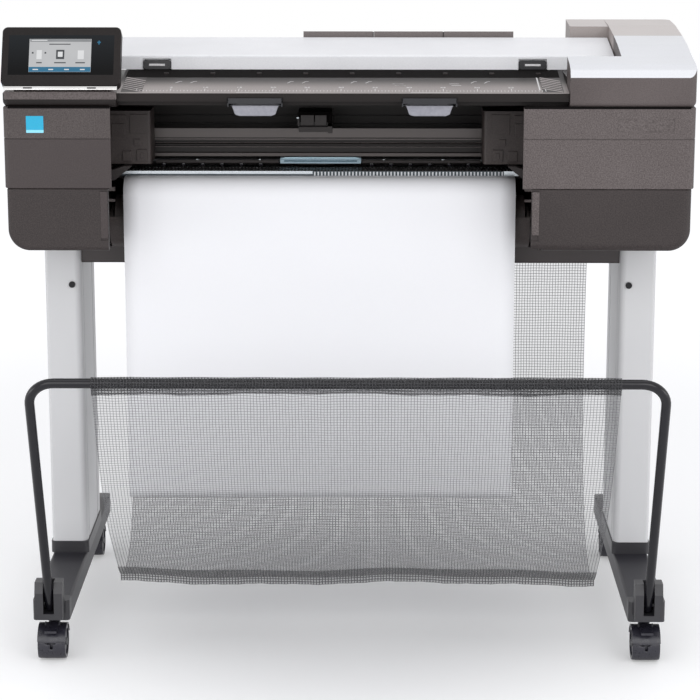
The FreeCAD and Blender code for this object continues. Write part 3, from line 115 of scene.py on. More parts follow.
# Matt painted floor with its real soft shadows. A glow seen only by the camera lifts it to white further out,
# and is weaker near the object: painted shade under and round the object.
studio_floor, tree, place = material("painted_studio_floor")
paint = add(tree, "BsdfDiffuse", inputs={"Color": "#e4e4e4"})
away = add(tree, "VectorMath", {"operation": "LENGTH"}, {0: place})
soft = {"interpolation_type": "SMOOTHSTEP"}
near = add(tree, "MapRange", soft, {0: away, 1: 0.15, 2: 0.62, 3: 0.09, 4: 0.3})
far = add(tree, "MapRange", soft, {0: away, 1: 1.2, 2: 2.8, 3: 0.0, 4: 0.14})
fade = add(tree, "Math", {"operation": "ADD"}, {0: near, 1: far})
lift = add(tree, "Math", {"operation": "MULTIPLY"}, {0: seen_directly(tree), 1: fade})
white_lift_with_painted_shade = add(tree, "Emission", inputs={"Color": "#ffffff", "Strength": lift})
finish(tree, add(tree, "AddShader", inputs={0: paint, 1: white_lift_with_painted_shade}))
floor_mesh = bpy.data.meshes.new("studio_floor")
floor_mesh.from_pydata([(-9, -6, 0), (9, -6, 0), (9, 9, 0), (-9, 9, 0)], [], [(0, 1, 2, 3)])
floor_mesh.materials.append(studio_floor)
placed("studio_floor", floor_mesh)

world = bpy.data.worlds.new("studio_air")
world.use_nodes = True
tree = world.node_tree
tree.nodes.clear()
air = add(tree, "Background", inputs={"Color": "#e9eaee", "Strength": 0.88})
backdrop = add(tree, "Background", inputs={"Color": "#ffffff", "Strength": 1.0})
mixed = add(tree, "MixShader", inputs={0: seen_directly(tree), 1: air, 2: backdrop})
add(tree, "OutputWorld", inputs={"Surface": mixed})
bpy.context.scene.world = world
bpy.context.scene.view_settings.view_transform = "Standard"

for name, spot, target, width, height, watts in (
        ("overhead_box", (0.1, -0.2, 3.0), (0, 0.1, 0.6), 2.8, 1.8, 10),
        ("front_left_box", (-1.3, -3.1, 1.6), (0, 0, 0.6), 2.2, 2.0, 27),
        ("front_right_box", (1.6, -3.0, 1.8), (0, 0, 0.6), 2.2, 2.0, 31),
        ("left_low_box", (-2.7, -0.9, 0.5), (0.4, 0.1, 0.35), 1.2, 0.8, 8),
        ("right_low_box", (2.7, -0.9, 0.5), (-0.4, 0.1, 0.35), 1.2, 0.8, 8)):
    light = bpy.data.lights.new(name, "AREA")
    light.shape, light.size, light.size_y, light.energy = "RECTANGLE", width, height, watts
    soft_box = placed(name, light)
    soft_box.location = spot
    soft_box.rotation_euler = (Vector(target) - Vector(spot)).to_track_quat("-Z", "Y").to_euler()


# ---------------------------------------------------------------- stand
# Two columns of extruded aluminium stand on charcoal steel feet with moulded caps, and a steel crossbar
# is screwed between them. The basket's black tube swings in brackets on the feet. All metal is powder
# coated.
def mottled(name, dark, light, cell_mm, detail, rough, relief=None, shader=None):
    """A finish that drifts between two tones in cells of the given size. Its roughness is one value, or two
    that it drifts between. relief is a strength, a depth in millimetres, and the size and detail of its
    own cells where it has them. shader holds values that are the same all over."""
    made, tree, place = material(name)
    cells = add(tree, "TexNoise", inputs={"Vector": place, "Scale": 1000 / cell_mm, "Detail": detail})
    tone = add(tree, "Mix", {"data_type": "RGBA"}, {0: cells, 6: dark, 7: light})
    values = {"Base Color": tone, "Roughness": rough, **(shader or {})}
    if isinstance(rough, tuple):
        polish = add(tree, "MapRange", inputs={0: cells, 3: rough[0], 4: rough[1]})
        values["Roughness"] = polish
    if relief:
        strength, depth_mm, *own = relief
        if own:
            cells = add(tree, "TexNoise", inputs={"Vector": place, "Scale": 1000 / own[0], "Detail": own[1]})
        bump = add(tree, "Bump", inputs={
            "Strength": strength, "Distance": depth_mm * MM, "Height": cells})
        values["Normal"] = bump
    finish(tree, add(tree, "BsdfPrincipled", inputs=values))
    return made


def powder_coat(name, dark, light, rough, peel_mm, bump, metal=0.0, shine=0.5):
    """Powder coat: even colour, faint orange peel from the melted powder, a soft sheen."""
    drift_mm, peel_depth_mm = 250, 0.1
    even = {"Metallic": metal, "IOR": 1.5, "Specular IOR Level": shine}
    return mottled(name, dark, light, drift_mm, 2.0, (rough - 0.04, rough + 0.05),
                   (bump, peel_depth_mm, peel_mm, 1.5), even)


def abs_grain(name, dark, light, rough, grain_mm, bump, speckle=0.5, shine=0.5, below=None, cloud_mm=166.667):
    """ABS from a spark-eroded mould: a slightly mottled colour, and a pebbled grain that breaks the light
    into a soft speckle. Below the given height in metres it is painted darker, by the given share: painted
    shade on the lower part."""
    made, tree, place = material(name)
    cloud = add(tree, "TexNoise", inputs={
        "Vector": place, "Scale": 1000 / cloud_mm, "Detail": 3.0, "Roughness": 0.6})
    grain = add(tree, "TexNoise", inputs={
        "Vector": place, "Scale": 1000 / grain_mm, "Detail": 1.0, "Roughness": 0.6})
    blend = add(tree, "Mix", {"data_type": "FLOAT"}, {0: speckle, 2: cloud, 3: grain})
    spread = add(tree, "MapRange", inputs={0: blend, 1: 0.34, 2: 0.66})
    colour = add(tree, "Mix", {"data_type": "RGBA"}, {0: spread, 6: dark, 7: light})
    # Painted shade: below the given height the colour is mixed towards the dark tone.
    if below:
        height = add(tree, "SeparateXYZ", inputs={0: place}).outputs["Z"]
        shade = add(tree, "MapRange", inputs={0: height, 1: below[0], 2: below[0] + MM, 3: below[1], 4: 0.0})
        colour = add(tree, "Mix", {"data_type": "RGBA"}, {0: shade, 6: colour, 7: dark})
    polish = add(tree, "MapRange", inputs={0: grain, 3: rough - 0.06, 4: rough + 0.08})
    relief = add(tree, "Bump", inputs={
        "Strength": bump, "Distance": grain_mm * 0.12 * MM, "Height": grain})
    finish(tree, add(tree, "BsdfPrincipled", inputs={
        "Base Color": colour, "IOR": 1.53, "Roughness": polish,
        "Specular IOR Level": shine, "Normal": relief}))
    return made


def dress(made, *names):
    """Gives CAD nodes their finish."""
    for name in names:
        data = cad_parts[name].data
        data.materials.clear()
        data.materials.append(made)


column_paint = powder_coat("light_grey_powder_coat", "#cbcbcc", "#d5d5d6", 0.42, 2.0, 0.25)
foot_paint = powder_coat("charcoal_powder_coat", "#222126", "#2f2e34", 0.42, 2.0, 0.35, shine=0.25)
bar_paint = powder_coat("gloss_black_powder_coat", "#0f0e13", "#19181e", 0.16, 3.0, 0.1, shine=0.35)
beam_paint = powder_coat("dark_brown_powder_coat", "#2f2929", "#3a3232", 0.42, 2.0, 0.3)
dress(foot_paint, "left_foot", "right_foot")
dress(bar_paint, "basket_bar", "sling_back_rod")
dress(beam_paint, "stand_crossbar")
cap_abs = abs_grain("charcoal_moulded_abs", "#222125", "#2f2e32", 0.4, 1.4, 0.35, 0.35)
dress(cap_abs, "foot_end_caps", "column_base_caps", "basket_brackets")
screw_black = powder_coat("black_oxide_steel", "#151517", "#202023", 0.35, 1.0, 0.3, 0.5)
dress(screw_black, "column_screws")


def box_mm(node):
    """The lowest and the highest corner of a CAD node, in millimetres."""
    return [[c / MM for c in corner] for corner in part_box(node)]


def finished_mesh(name, shape, round_mm=0.0, steps=2, outward=True, smooth=False):
    """Ends a shape: turns its faces outward, rounds its edges and makes a mesh of it."""
    if outward:
        bmesh.ops.recalc_face_normals(shape, faces=shape.faces[:])
    if round_mm:
        bmesh.ops.bevel(shape, geom=shape.edges[:], offset=round_mm * MM, segments=steps, profile=0.5,
                        affect="EDGES", clamp_overlap=True)
    mesh = bpy.data.meshes.new(name)
    shape.to_mesh(mesh)
    shape.free()
    if smooth:
        mesh.shade_smooth()
    return mesh


def prism_mesh(name, outline, low, high, axis="X", round_mm=0.0):
    """A mesh with a closed outline in millimetres, drawn across an axis and pushed along it."""
    shape = bmesh.new()
    place = {"X": lambda u, v, w: (w, u, v),
             "Y": lambda u, v, w: (u, w, v),
             "Z": lambda u, v, w: (u, v, w)}[axis]
    near = [shape.verts.new([c * MM for c in place(u, v, low)]) for u, v in outline]
    far = [shape.verts.new([c * MM for c in place(u, v, high)]) for u, v in outline]
    shape.faces.new(near)
    shape.faces.new(far[::-1])
    for i in range(len(outline)):
        j = (i + 1) % len(outline)
        shape.faces.new((near[i], far[i], far[j], near[j]))
    return finished_mesh(name, shape, round_mm)


def new_piece(mesh, made, body="frame"):
    """A piece named as its mesh is, of one material. It rides on a body of the CAD model if one is given."""
    mesh.materials.append(made)
    piece = placed(mesh.name, mesh)
    if body:
        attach(piece, body)
    return piece


# The extrusion has a broad round at its inner front corner, small ones elsewhere, and two shallow grooves
# down its inner face.
groove = ((0, 3.4), (1.8, 2.2), (1.8, -2.2), (0, -3.4))  # depth, and place off the groove's middle
for side, sign in (("left", -1), ("right", 1)):
    (x1, y1, z1), (x2, y2, z2) = box_mm(side + "_column")
    inner, outer = sorted((abs(x1), abs(x2)))
    outline = []
    for u, v, radius, start in ((inner, y1, 11, 180), (outer, y1, 5, 270),
                                (outer, y2, 4, 0), (inner, y2, 4, 90)):
        centre = (u + radius if u == inner else u - radius, v + radius if v == y1 else v - radius)
        for i in range(10):
            t = math.radians(start + 10 * i)
            outline.append((sign * (centre[0] + radius * math.cos(t)), centre[1] + radius * math.sin(t)))
    for groove_y in (180, 64):
        outline += [(sign * (inner + deep), groove_y + off) for deep, off in groove]
    profile = prism_mesh(side + "_column_profile", outline, z1, z2, "Z")
    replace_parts(new_piece(profile, column_paint), side + "_column")


# ---------------------------------------------------------------- casters
# Twin wheel casters of glossy black nylon, moulded and then scuffed by use. The front ones have a brake
# pedal.
nylon, tree, place = material("moulded_black_nylon")
scuff_mm = 6.25
scuff = add(tree, "TexNoise", inputs={
    "Vector": place, "Scale": 1000 / scuff_mm, "Detail": 4.0, "Roughness": 0.7})
colour = add(tree, "Mix", {"data_type": "RGBA"}, {0: scuff, 6: "#1d1c24", 7: "#2f2e38"})
polish = add(tree, "MapRange", inputs={0: scuff, 1: 0.35, 2: 0.7, 3: 0.24, 4: 0.46})
relief = add(tree, "Bump", inputs={"Strength": 0.2, "Distance": 0.1 * MM, "Height": scuff})
finish(tree, add(tree, "BsdfPrincipled", inputs={
    "Base Color": colour, "Roughness": polish, "IOR": 1.53, "Normal": relief}))
corners = ["front_left", "front_right", "back_left", "back_right"]
dress(nylon, *["caster_fork_" + c for c in corners], *["caster_wheels_" + c for c in corners],
      "brake_lever_front_left", "brake_lever_front_right")


def grid_mesh(name, rows, left_out=None, weave=None, outward=False):
    """A smooth mesh between rows of places in millimetres. left_out(row, column) says which faces are
    missing. weave gives cloth its flat coordinates in metres: one list across and one along."""
    shape = bmesh.new()
    layer = shape.loops.layers.uv.new("weave") if weave else None
    grid = [[shape.verts.new([c * MM for c in spot]) for spot in row] for row in rows]
    for i, (a, b) in enumerate(zip(grid, grid[1:])):
        for k in range(len(a) - 1):
            if left_out and left_out(i, k):
                continue
            face = shape.faces.new((a[k], a[k + 1], b[k + 1], b[k]))
            if weave:
                for loop, (u, v) in zip(face.loops, ((k, i), (k + 1, i), (k + 1, i + 1), (k, i + 1))):
                    loop[layer].uv = (weave[0][u], weave[1][v])
    return finished_mesh(name, shape, outward=outward, smooth=True)


def thicken(piece, wall_mm):
    """Gives a sheet of faces its real thickness, half to each side."""
    wall = piece.modifiers.new("wall", "SOLIDIFY")
    wall.thickness, wall.offset = wall_mm * MM, 0


# The hood's front is a barrel shaped skirt that hides the wheels almost to the floor, with a T shaped slot
# for the brake's linkage.
skirt_radius, skirt_half, wheel_radius, hood_reach = 27.8, 20.6, 25.0, 27.4
across = [-skirt_half, -18, -14, -9, -6, -2.2, -1.2, 1.2, 2.2, 6, 9, 14, 18, skirt_half]
angles = [-46, -42, -36, -28, -20, -14, -8, -2, 4, 8, 12, 17]


def brake_slot(i, k):
    """Whether a face of the skirt is left out for the slot."""
    bar = angles[i] == 8 and 3 <= k <= 8
    stem = angles[i] in (-8, -2, 4) and 5 <= k <= 7
    return bar or stem


for corner in corners:
    (x1, y1, z1), (x2, y2, z2) = box_mm("caster_fork_" + corner)
    axle_y, middle = y1 + hood_reach, (x1 + x2) / 2
    rows = []
    for t in [math.radians(angle) for angle in angles]:
        reach = [(u, skirt_radius - 0.9 * (abs(u) / skirt_half) ** 6) for u in across]
        rows.append([(middle + u, axle_y - r * math.cos(t), wheel_radius + r * math.sin(t))
                     for u, r in reach])
    skirt = grid_mesh("caster_skirt_" + corner, rows, brake_slot, outward=True)
    thicken(new_piece(skirt, nylon, "caster_" + corner), 1.2)


# ---------------------------------------------------------------- casing covers
# Side covers, ink door, side frames and back parts: ABS mouldings in warm dark greys that clip on round
# the steel frame. The real grain is about 0.4 mm; at 1.8 mm it still shows from across a room.
left_abs = abs_grain("dark_grey_moulded_abs", "#372f2f", "#544d4b", 0.52, 1.8, 0.45, 0.75, 0.35, (0.782, 0.7))
# A lighter copy of the same ABS for the right cover, its grip and the band on the scanner's left end: painted
# light.
lit_copy_abs = abs_grain("lit_copy_grey_moulded_abs", "#453d3c", "#645c5b", 0.5, 1.8, 0.45, 0.75, 0.35)
# A darker copy of the same ABS for the lower covers and the ink door, which turn down away from the light:
# painted shade.
shaded_low_abs = abs_grain("shaded_deep_grey_moulded_abs", "#292323", "#3d3635", 0.54, 1.8, 0.4, 0.75, 0.3)
frame_abs = abs_grain("brown_grey_moulded_abs", "#302928", "#423a38", 0.5, 1.8, 0.35, 0.6, 0.35)
inner_abs = abs_grain("inner_dark_moulded_abs", "#191414", "#2a2423", 0.55, 1.6, 0.4, 0.5, 0.25)
# The left cover is painted darker below 782 mm: painted shade on its lower part.
dress(left_abs, "left_upper_cover")
dress(lit_copy_abs, "right_upper_cover")
dress(shaded_low_abs, "left_lower_cover", "right_lower_cover", "ink_door")
dress(inner_abs, "base_pan", "back_panel")
dress(frame_abs, "left_side_frame", "right_side_frame")


# ---------------------------------------------------------------- sticker on the left cover
# A small square sticker with a plain two-tone field and no lettering, pressed on to the cover.
# Printed vinyl: flat colour from fine dots of ink, under a slight gloss.
vinyl, tree, place = material("printed_vinyl_sticker")
dot_mm, tones_meet, fade = 1.1111, 795 * MM, 0.5 * MM
height = add(tree, "SeparateXYZ", inputs={0: place}).outputs["Z"]
band = add(tree, "MapRange", {"clamp": True}, {0: height, 1: tones_meet - fade, 2: tones_meet + fade})
print_dots = add(tree, "TexNoise", inputs={"Vector": place, "Scale": 1000 / dot_mm, "Detail": 1.0})
ink = add(tree, "Mix", {"data_type": "RGBA"}, {0: band, 6: "#8fdcf0", 7: "#1fa6cc"})
ink = add(tree, "Mix", {"data_type": "RGBA", "blend_type": "SOFT_LIGHT"}, {
    0: 0.25, 6: ink, 7: print_dots.outputs["Color"]})
finish(tree, add(tree, "BsdfPrincipled", inputs={"Base Color": ink, "Roughness": 0.32, "IOR": 1.45}))


def boxes_mesh(name, boxes, round_mm=0.0, steps=2):
    """A mesh of boxes given as (low corner, high corner) in millimetres, with rounded edges."""
    shape = bmesh.new()
    for low, high in boxes:
        made = bmesh.ops.create_cube(shape, size=1.0)["verts"]
        bmesh.ops.scale(shape, vec=[(b - a) * MM for a, b in zip(low, high)], verts=made)
        bmesh.ops.translate(shape, vec=[(a + b) / 2 * MM for a, b in zip(low, high)], verts=made)
    return finished_mesh(name, shape, round_mm, steps)


def box_piece(name, boxes, round_mm, made, body="frame", steps=2):
    """A small moulding or bent part made of rounded boxes."""
    new_piece(boxes_mesh(name, boxes, round_mm, steps), made, body)


box_piece("vinyl_sticker", [((-472, -133.3, 790.8), (-446.5, -132.9, 815.5))], 0.1, vinyl)


# ---------------------------------------------------------------- grips and seams of the covers
# A raised grip runs down the inner edge of each lower cover, and a black strip fills the seam between the
# covers and the scanner that stands on them: painted shade of the gap.
left_grip = ((-366, -133.9, 634), (-355.4, -132.6, 704))
right_grip = ((269, -133.9, 640), (279.6, -132.6, 704))
box_piece("left_cover_grip", [left_grip], 1.2, left_abs, "ink_door", 3)
box_piece("right_cover_grip", [right_grip], 1.2, lit_copy_abs, steps=3)
# Deep black and matt: the strip stands in for the shadow in the gap.
seam_shade_black = mottled("black_painted_seam_shade", "#070606", "#141111", 1.4286, 2.0, 0.95, shader={"Specular IOR Level": 0.1})
seam_shade_strips = [((-498, -133.15, 826.4), (-349.5, -120, 829.2)), ((255.5, -133.15, 826.4), (498, -120, 829.2))]
box_piece("scanner_seam_shade", seam_shade_strips, 0.2, seam_shade_black)


# ---------------------------------------------------------------- print zone
# Behind the sheet: a black ribbed platen, a drawn steel exit guide, the blue load lever, and the
# carriage on its ground rail in front of a dark folded beam.
black_abs = abs_grain("black_moulded_abs", "#0c0a0a", "#171313", 0.46, 1.2, 0.3, 0.5, 0.3)
dress(black_abs, "platen", "carriage", "carriage_belt", "power_switch", "power_module")
dress(powder_coat("umber_powder_coat", "#120d0c", "#1c1514", 0.6, 2.0, 0.2), "carriage_beam")


def drawn_steel(name, dark, light, rough, streak_mm=0.8, run_mm=500):
    """Drawn or brushed steel: bright metal with fine streaks along the machine."""
    made, tree, place = material(name)
    pull = add(tree, "Mapping", inputs={
        "Vector": place, "Scale": (1000 / run_mm, 1000 / streak_mm, 1000 / streak_mm)})
    streak = add(tree, "TexNoise", inputs={"Vector": pull, "Scale": 1.0, "Detail": 4.0})
    colour = add(tree, "Mix", {"data_type": "RGBA"}, {0: streak, 6: dark, 7: light})
    polish = add(tree, "MapRange", inputs={0: streak, 3: rough - 0.06, 4: rough + 0.1})
    finish(tree, add(tree, "BsdfPrincipled", inputs={
        "Base Color": colour, "Metallic": 1.0, "Roughness": polish}))
    return made


steel = drawn_steel("drawn_steel", "#aab2b8", "#d6dbde", 0.26)
dark_steel = drawn_steel("phosphated_steel", "#3a3f44", "#565c61", 0.36)
dress(drawn_steel("dull_steel", "#77787b", "#8f9093", 0.4), "cross_rods")
dress(dark_steel, "exit_guide")

# Strips of bright steel on the exit guide's edge are painted highlights of the edge; pale teeth stand along
# its right half, and a comb of small star wheels stands behind it.
(_, y1, z1), (_, _, z2) = box_mm("exit_guide")
guide_highlight_strips = [((-349, y1 - 0.8, z2 - 4.6), (-57, y1 + 0.4, z2 + 0.3)),
          ((235, y1 - 1.0, z1 - 0.2), (259, y1 + 0.4, z2 + 0.4))]
box_piece("exit_guide_painted_highlight", guide_highlight_strips, 0.3, steel)
# Moulded acetal: pale, a little waxy.
acetal = mottled("pale_acetal", "#c3c7c9", "#dfe2e4", 3.3333, 2.0, 0.35, shader={"IOR": 1.48})
tooth_pitch, wheel_pitch = 5.3, 5.15
teeth = [((x, y1 - 1.4, z1 + 0.1), (x + 2.5, y1 + 0.2, z2 - 0.6))
         for x in (-55 + tooth_pitch * i for i in range(55))]
box_piece("exit_guide_teeth", teeth, 0.4, acetal)
comb = [((x, y1 + 1.5, z2 - 0.3), (x + 2.2, y1 + 30, z2 + 1.8 + taller))
        for x, taller in ((-348 + i * wheel_pitch, 0.8 if i % 3 == 0 else 0) for i in range(118))]
box_piece("star_wheel_comb", comb, 0.4, black_abs)

# The guard in front of the carriage is folded sheet steel, powder coated brown: a broad flat along its top, a
# folded line under it, then shallow steps down to the pinch bar. Its coat is drawn lighter than it is, as
# painted light against the shade in the window, and the fold lines are drawn in a paler grey as painted
# highlights on the bends.
lightened_guard_paint = powder_coat("brown_grey_powder_coat", "#56504e", "#655d5b", 0.45, 2.0, 0.25)
flap_abs = abs_grain("grey_moulded_abs", "#605958", "#736b69", 0.42, 1.8, 0.25, 0.6, 0.4)
guard_left, guard_right = -325, 225
flats = [((guard_left, 78.2, 755.6), (guard_right, 80.6, 770.0)),
         ((guard_left, 78.0, 726.4), (guard_right, 78.6, 731.4))]
box_piece("guard_flats", flats, 0.4, lightened_guard_paint)
fold_highlights = [((guard_left, 77.6, 752.4), (guard_right, 79.0, 754.0)),
         ((guard_left, 77.8, 740.6), (guard_right, 78.7, 741.6)),
         ((guard_left, 77.6, 747.4), (guard_right, 78.6, 748.0))]
box_piece("guard_fold_highlights", fold_highlights, 0.2, flap_abs)

# A bar carries the pinch wheels on both sides of the lever; small steel screws hold it.
bracket_abs = abs_grain("bracket_moulded_abs", "#241f1f", "#352f2e", 0.46, 1.6, 0.4, 0.5, 0.35)
latch_abs = abs_grain("gloss_black_moulded_abs", "#121216", "#1e1e24", 0.22, 1.2, 0.15)
pinch = [((-302, 70, 716.8), (-110, 79.0, 721.4)), ((18, 70, 716.8), (202, 79.0, 721.4))]
box_piece("pinch_bar", pinch, 0.7, bracket_abs)
wheels = [((x, 67, 712.6), (x + 6, 72, 717.6)) for x in [*range(-292, -118, 30), *range(30, 196, 30)]]
box_piece("pinch_wheels", wheels, 1.6, latch_abs, steps=3)
screws = [((x, 71.5, 721.0), (x + 4, 75.5, 722.8)) for x in (-239.6, -142.2, 50.1, 141.2)]
box_piece("pinch_bar_screws", screws, 0.8, steel, steps=3)


def tube_mesh(name, points, radius_mm, sides=16):
    """A mesh rod with round section along points in millimetres, closed at both ends."""
    shape = bmesh.new()
    rings = []
    spots = [Vector(p) * MM for p in points]
    for i, spot in enumerate(spots):
        ahead = (spots[min(i + 1, len(spots) - 1)] - spots[max(i - 1, 0)]).normalized()
        side = ahead.cross(Vector((0, 0, 1)) if abs(ahead.z) < 0.9 else Vector((0, 1, 0))).normalized()
        up = side.cross(ahead)
        rings.append([shape.verts.new(spot + radius_mm * MM * (side * math.cos(t) + up * math.sin(t)))
                      for t in (2 * math.pi * k / sides for k in range(sides))])
    for a, b in zip(rings, rings[1:]):
        for k in range(sides):
            shape.faces.new((a[k], a[(k + 1) % sides], b[(k + 1) % sides], b[k]))
    shape.faces.new(rings[0][::-1])
    shape.faces.new(rings[-1])
    return finished_mesh(name, shape, smooth=True)


# The load lever is moulded in pale blue. A paler tube along its rounded top is a painted highlight, and a
# dark strip across its front is the painted shade of the groove for the finger.
lever_abs = abs_grain("pale_blue_moulded_abs", "#9db6c4", "#bcd3de", 0.28, 1.6, 0.15)
highlight_rim_abs = abs_grain("blue_abs_painted_highlight", "#c4e9f8", "#e2f6fd", 0.2, 1.6, 0.1)
groove_shade_abs = abs_grain("teal_painted_groove_shade", "#1d4a5c", "#27596d", 0.3, 1.6, 0.1)
dress(lever_abs, "load_lever")
(x1, y, _), (x2, _, z) = box_mm("load_lever")
rim = [(x1 + 1, y + 5, z - 3.5), (x1 + 4.5, y + 3.4, z - 0.6), (x1 + 9, y + 3, z + 0.3),
       (x2 - 9, y + 3, z + 0.3), (x2 - 4.5, y + 3.4, z - 0.6), (x2 - 1, y + 5, z - 3.5)]
new_piece(tube_mesh("lever_rim_highlight", rim, 1.1, 10), highlight_rim_abs, "load_lever")
finger_groove_shade = [((x1 + 6, y - 0.3, z - 5.2), (x2 - 6, y + 2.2, z - 3.4))]
box_piece("lever_groove_shade", finger_groove_shade, 0.3, groove_shade_abs, "load_lever")

# The carriage: a black box that looks over the guard, with a hatch, a lip and a catch that hang over
# the guard's top, and one bright pin.
mid = -55.0
plates = [((mid - 25, 77.2, 770.8), (mid + 21, 85.0, 772.4)),
          ((mid - 25, 76.9, 764.4), (mid + 21, 77.9, 772.4)),
          ((mid + 20, 76.7, 772.6), (mid + 27, 85.0, 779.0)),
          ((mid + 20, 76.7, 762.6), (mid + 27, 77.8, 779.0)),
          ((mid - 22, 82.9, 773.6), (mid - 1.5, 84.3, 790)), ((mid, 82.4, 773.6), (mid + 18, 84.3, 790)),
          ((mid - 27, 80.4, 773.0), (mid - 24, 85.0, 786.0))]
box_piece("carriage_hatch", plates, 0.5, bracket_abs, "carriage")
pin = [((mid - 28.5, 79.0, 784.6), (mid - 24.5, 83.0, 787.6))]
box_piece("carriage_pin", pin, 0.9, steel, "carriage", 3)

# Rubber covered rollers, ground to a dull even black, and the ink cartridges behind their door.
rubber = abs_grain("ground_rubber", "#17171a", "#242427", 0.75, 0.6, 0.4)
dress(rubber, "feed_roller", "document_roller")
dress(latch_abs, "ink_cartridges")


# ---------------------------------------------------------------- ends of the bay
# Small ABS mouldings clip into the ends of the bay: wedge shaped corner guides, latches and cable guides.
# A painted steel plate hangs the spindle, and a stop steadies the roll.
latches = ((4, 790, 28, 799, 2.0), (34, 770, 62, 800, 1.2), (6, 768, 26, 786, 1.4), (40, 752, 50, 762, 1.6),
           (22, 728, 36, 744, 2.2), (44, 728, 60, 746, 2.6), (49, 732, 56, 741, 3.4))
for side, sign, edge in (("left", 1, -373.0), ("right", -1, 281.0)):
    corner = [(edge, 700.5), (edge, 714), (edge + sign * 30, 723.4), (edge + sign * 42, 723.4),
              (edge + sign * 17, 702.5), (edge + sign * 12, 700.5)]
    new_piece(prism_mesh(side + "_corner_guide", corner, -6, 10.5, "Y", 0.8), bracket_abs)
    bits = []
    for u1, low_z, u2, high_z, out in latches:
        a, b = sorted((edge + sign * (4 + u1), edge + sign * (4 + u2)))
        bits.append(((a, 12 - out, low_z), (b, 12.4, high_z)))
    box_piece(side + "_bay_latches", bits, 0.5, frame_abs)
    a, b = sorted((edge - sign * 44, edge + sign * 33))
    box_piece(side + "_hanger_plate", [((a, 84, 588.6), (b, 87, 615.4))], 0.3, beam_paint)
    a, b = sorted((edge + sign * 0.5, edge + sign * 15))
    stops = [((a, -2, 684), (b, 6, 690)), ((a, -4, 668), (b, -2, 672))]
    box_piece(side + "_roll_stop", stops, 0.6, flap_abs)


# ---------------------------------------------------------------- roll, its cover and the printed sheet
# The spindle's hubs and the curved roll cover are ABS. The roll and the sheet that hangs from it are
# uncoated paper: matt white, with a faint cloud of fibres.
dress(frame_abs, "roll_cover", "roll_spindle")
paper, tree, place = material("uncoated_white_paper")
fibre_mm, cloud_mm = 2.0, 333.333
fibre = add(tree, "TexNoise", inputs={
    "Vector": place, "Scale": 1000 / fibre_mm, "Detail": 4.0, "Roughness": 0.7})
tone = add(tree, "TexNoise", inputs={"Vector": place, "Scale": 1000 / cloud_mm, "Detail": 2.0})
mixed = add(tree, "Mix", {"data_type": "FLOAT"}, {0: 0.5, 2: fibre, 3: tone})
colour = add(tree, "Mix", {"data_type": "RGBA"}, {0: mixed, 6: "#ededf0", 7: "#f6f6f8"})
relief = add(tree, "Bump", inputs={"Strength": 0.15, "Distance": 0.05 * MM, "Height": fibre})
finish(tree, add(tree, "BsdfPrincipled", inputs={
    "Base Color": colour, "Roughness": 0.8, "IOR": 1.4, "Normal": relief}))
dress(paper, "paper_roll")


def waves(across, *parts):
    """A sum of waves across a sheet: each has a height in millimetres, its turns in radians and its start."""
    return sum(high * math.sin(across * turns + start) for high, turns, start in parts)


# The sheet leaves the platen, turns down over the exit edge and hangs into the basket. Its outer edges
# curl forward more and more towards its lower end.
(x1, _, end_z), (x2, _, _) = box_mm("paper_sheet")
hang_y, top_z, curl, sheet_steps = -29.0, 705.8, 28.0, 24
drop_top = top_z - curl
path_points = [(y, top_z) for y in (127.0, 90.0, 60.0, 30.0, hang_y + curl)]
for t in [math.radians(90 * i / 16) for i in range(1, 17)]:
    path_points.append((hang_y + curl * (1 - math.sin(t)), top_z - curl * (1 - math.cos(t))))
for down in [i / 40 for i in range(1, 41)]:
    bulge = 2.2 * math.sin(down * math.pi) * down - 1.0 * down ** 3
    path_points.append((hang_y + bulge, drop_top + (end_z + 0.5 - drop_top) * down))
rows = []
for y, z in path_points:
    below = max(0.0, (drop_top - z) / (drop_top - end_z))
    row = []
    for across in [k / sheet_steps for k in range(sheet_steps + 1)]:
        edge_curl = 1.4 * (abs(across - 0.5) * 2) ** 4 * below
        row.append((x1 + (x2 - x1) * across, y - edge_curl + waves(across, (0.8, 5.1, 1.2)) * below, z))
    rows.append(row)
printed_sheet = new_piece(grid_mesh("printed_sheet", rows, outward=True), paper)
thicken(printed_sheet, 0.2)
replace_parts(printed_sheet, "paper_sheet")


